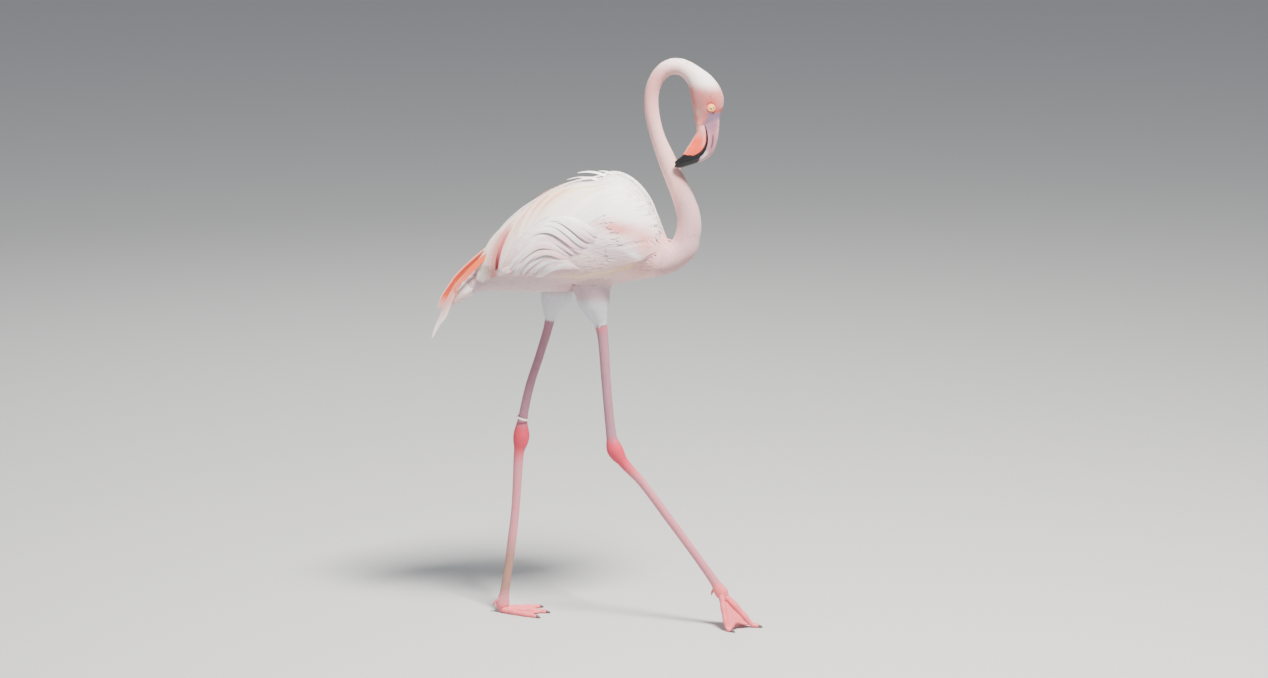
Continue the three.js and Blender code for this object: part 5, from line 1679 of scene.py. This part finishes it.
# %% Skin finish
def skin_finish():
    """Tint with fine mottling; on the bare legs, cell borders as bump for the plates, and a duller
    bloom between them."""
    finish = Finish("bare_skin", Specular_IOR_Level=0.4, Subsurface_Weight=0.08, Subsurface_Scale=0.003)
    place = finish.place()
    legs = finish.attribute("scales", "Fac")
    stretched = finish.stretch(place, (0.42, 0.42, 0.6))
    cells = finish.out(finish.node("ShaderNodeTexVoronoi", {"feature": "DISTANCE_TO_EDGE"},
                                   {"Vector": stretched, "Scale": 1.0}), "Distance")
    plate = (cells * 5.0).clamp()
    mottle = finish.noise(place, 0.35, 4.0)
    patchy = finish.noise(place, 0.06, 2.0)
    tint = finish.attribute("tint")
    dark = finish.mix(0.45, tint, tint, "MULTIPLY")
    wear = (mottle * 0.7 + plate * legs * 0.35 + patchy * 0.5 - 0.15).clamp()
    finish.base(finish.mix(wear, dark, tint))
    finish.rough(0.62 - legs * 0.14 + (mottle - 0.5) * 0.3)
    finish.bump(plate * legs * 0.8 + mottle * 0.5, 0.32, 0.0005)
    return finish.material


def horn_finish():
    """Tint with growth lines that follow the bill, from noise stretched along it, and a soft gloss."""
    finish = Finish("bill_horn", Specular_IOR_Level=0.5, Coat_Roughness=0.25)
    place = finish.place()
    grain = finish.noise(finish.stretch(place, (0.9, 0.9, 0.16)), 0.9, 4.0)
    mottle = finish.noise(place, 0.25, 3.0)
    tint = finish.attribute("tint")
    dark = finish.mix(0.35, tint, tint, "MULTIPLY")
    finish.base(finish.mix((grain * 0.6 + mottle * 0.6).clamp(), dark, tint))
    finish.rough(grain * 0.25 + 0.28)
    finish.bump(grain, 0.22, 0.0005)
    return finish.material


def eye_finish():
    """Tint under a wet, almost mirror-like surface, with faint fibres of the iris in its colour."""
    finish = Finish("wet_eye", Roughness=0.12, Specular_IOR_Level=0.6, Coat_Weight=1.0,
                    Coat_Roughness=0.02)
    fibre = finish.noise(finish.place(), 1.6, 3.0)
    tint = finish.attribute("tint")
    finish.base(finish.mix((fibre * 1.4).clamp(), finish.mix(0.3, tint, tint, "MULTIPLY"), tint))
    return finish.material


def plain_finish(name, tint, roughness, grain_scale):
    """One colour with fine wear: noise darkens it a little and scatters its gloss."""
    finish = Finish(name, Specular_IOR_Level=0.4)
    grain = finish.noise(finish.place(), grain_scale, 4.0)
    finish.base(finish.mix((grain * 1.3).clamp(), rgba(np.array(tint) * 0.7), rgba(tint)))
    finish.rough(grain * 0.3 + (roughness - 0.15))
    finish.bump(grain, 0.15, 0.0003)
    return finish.material


skin_material, horn_material, eye_material = skin_finish(), horn_finish(), eye_finish()
claw_material = plain_finish("claw_horn", CLAW, 0.5, 0.6)
band_material = plain_finish("band_plastic", BAND, 0.45, 0.5)
print("finishes:", len(bpy.data.materials))

# %% [markdown]
# ## Putting it together
# Each piece gets its finish, rides on the one body of a still model, and says which solids it stands
# for. The skin stands for every solid of flesh.

# %% Dress, ride and replace
def dress(obj, material, slot_name, *nodes):
    """Finish, body and the solids that the piece stands for; slot_name is not used."""
    obj.data.materials.clear()
    obj.data.materials.append(material)
    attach(obj, "root")
    if nodes:
        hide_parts(*nodes)


flesh = ["trunk", "head"] + [f"neck_{i}" for i in range(1, 9)] + [
    f"{part}_{name}" for part in ("thigh", "tibia", "ankle", "tarsus", "foot", "hallux")
    for name in SIDES]
dress(skin, skin_material, "leg_skin", *flesh)
dress(bill_top, horn_material, "bill_pale", "bill_upper")
dress(bill_under, horn_material, "bill_coral", "bill_lower")
for name, eye in eyes.items():
    dress(eye, eye_material, "eye", "eye_" + name)
for node, claw in claws.items():
    dress(claw, claw_material, "claw", node)
dress(ring_band, band_material, "band", "leg_band")
for obj in (*coats, coat_breast, coat_tail, *coat_thighs, loose):
    dress(obj, body_feather, "feather_white")
for obj in (coat_neck, coat_head):
    dress(obj, fine_feather, "feather_pink")
for name in SIDES:
    dress(coverts[name], body_feather, "feather_white", f"wing_{name}_coverts")
    dress(plumes[name], body_feather, "feather_white", f"wing_{name}_long_feathers")
for name, obj in tips.items():
    dress(obj, flight_feather, "feather_coral", f"wing_{name}_tip")
dress(tail, flight_feather, "feather_pink", "tail")
total = sum(triangles(o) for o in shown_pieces())

# %% [markdown]
# ## The studio
# A pale floor, a strong lamp high in front as the sun, a weak wide one low at the front, another from
# behind, and a dim even sky. The bird's back is bright and its belly is in its own shade.

# %% Floor and lights
FLOOR_HALF = 30000             # half the floor's side, in millimetres
floor_corners = FLOOR_HALF * np.array([[-1, -1, 0], [1, -1, 0], [1, 1, 0], [-1, 1, 0]], float)
floor = make_mesh("floor", floor_corners, quads=[[0, 1, 2, 3]], smooth=False)
floor.data.materials.append(plain_finish("floor_matt", (0.55, 0.55, 0.54), 0.85, 0.3))
floor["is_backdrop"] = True


LAMP_AIM = Vector((0, 0, 0.65))  # the bird's middle, in metres


def lamp(name, place, size, power, tint=(1, 1, 1)):
    """Square area lamp, of `size` metres and `power` watts, that faces the bird's middle."""
    data = bpy.data.lights.new(name, "AREA")
    data.size, data.energy, data.color = size, power, tint
    lamp_object = bpy.data.objects.new(name, data)
    lamp_object.location = place
    lamp_object.rotation_euler = (LAMP_AIM - Vector(place)).to_track_quat("-Z", "Y").to_euler()
    bpy.context.scene.collection.objects.link(lamp_object)


lamp("sun_lamp", (1.0, -1.3, 3.6), 0.8, 540, (1.0, 0.97, 0.93))
lamp("fill_lamp", (-2.6, -2.6, 1.4), 2.4, 16, (0.9, 0.94, 1.0))
lamp("rim_lamp", (-0.8, 2.6, 2.4), 1.6, 35)
world = bpy.data.worlds.new("sky")
bpy.context.scene.world = world
world.use_nodes = True
sky = world.node_tree.nodes["Background"].inputs
sky["Color"].default_value, sky["Strength"].default_value = (0.85, 0.9, 1.0, 1), 0.42
print("lamps:", len(bpy.data.lights))
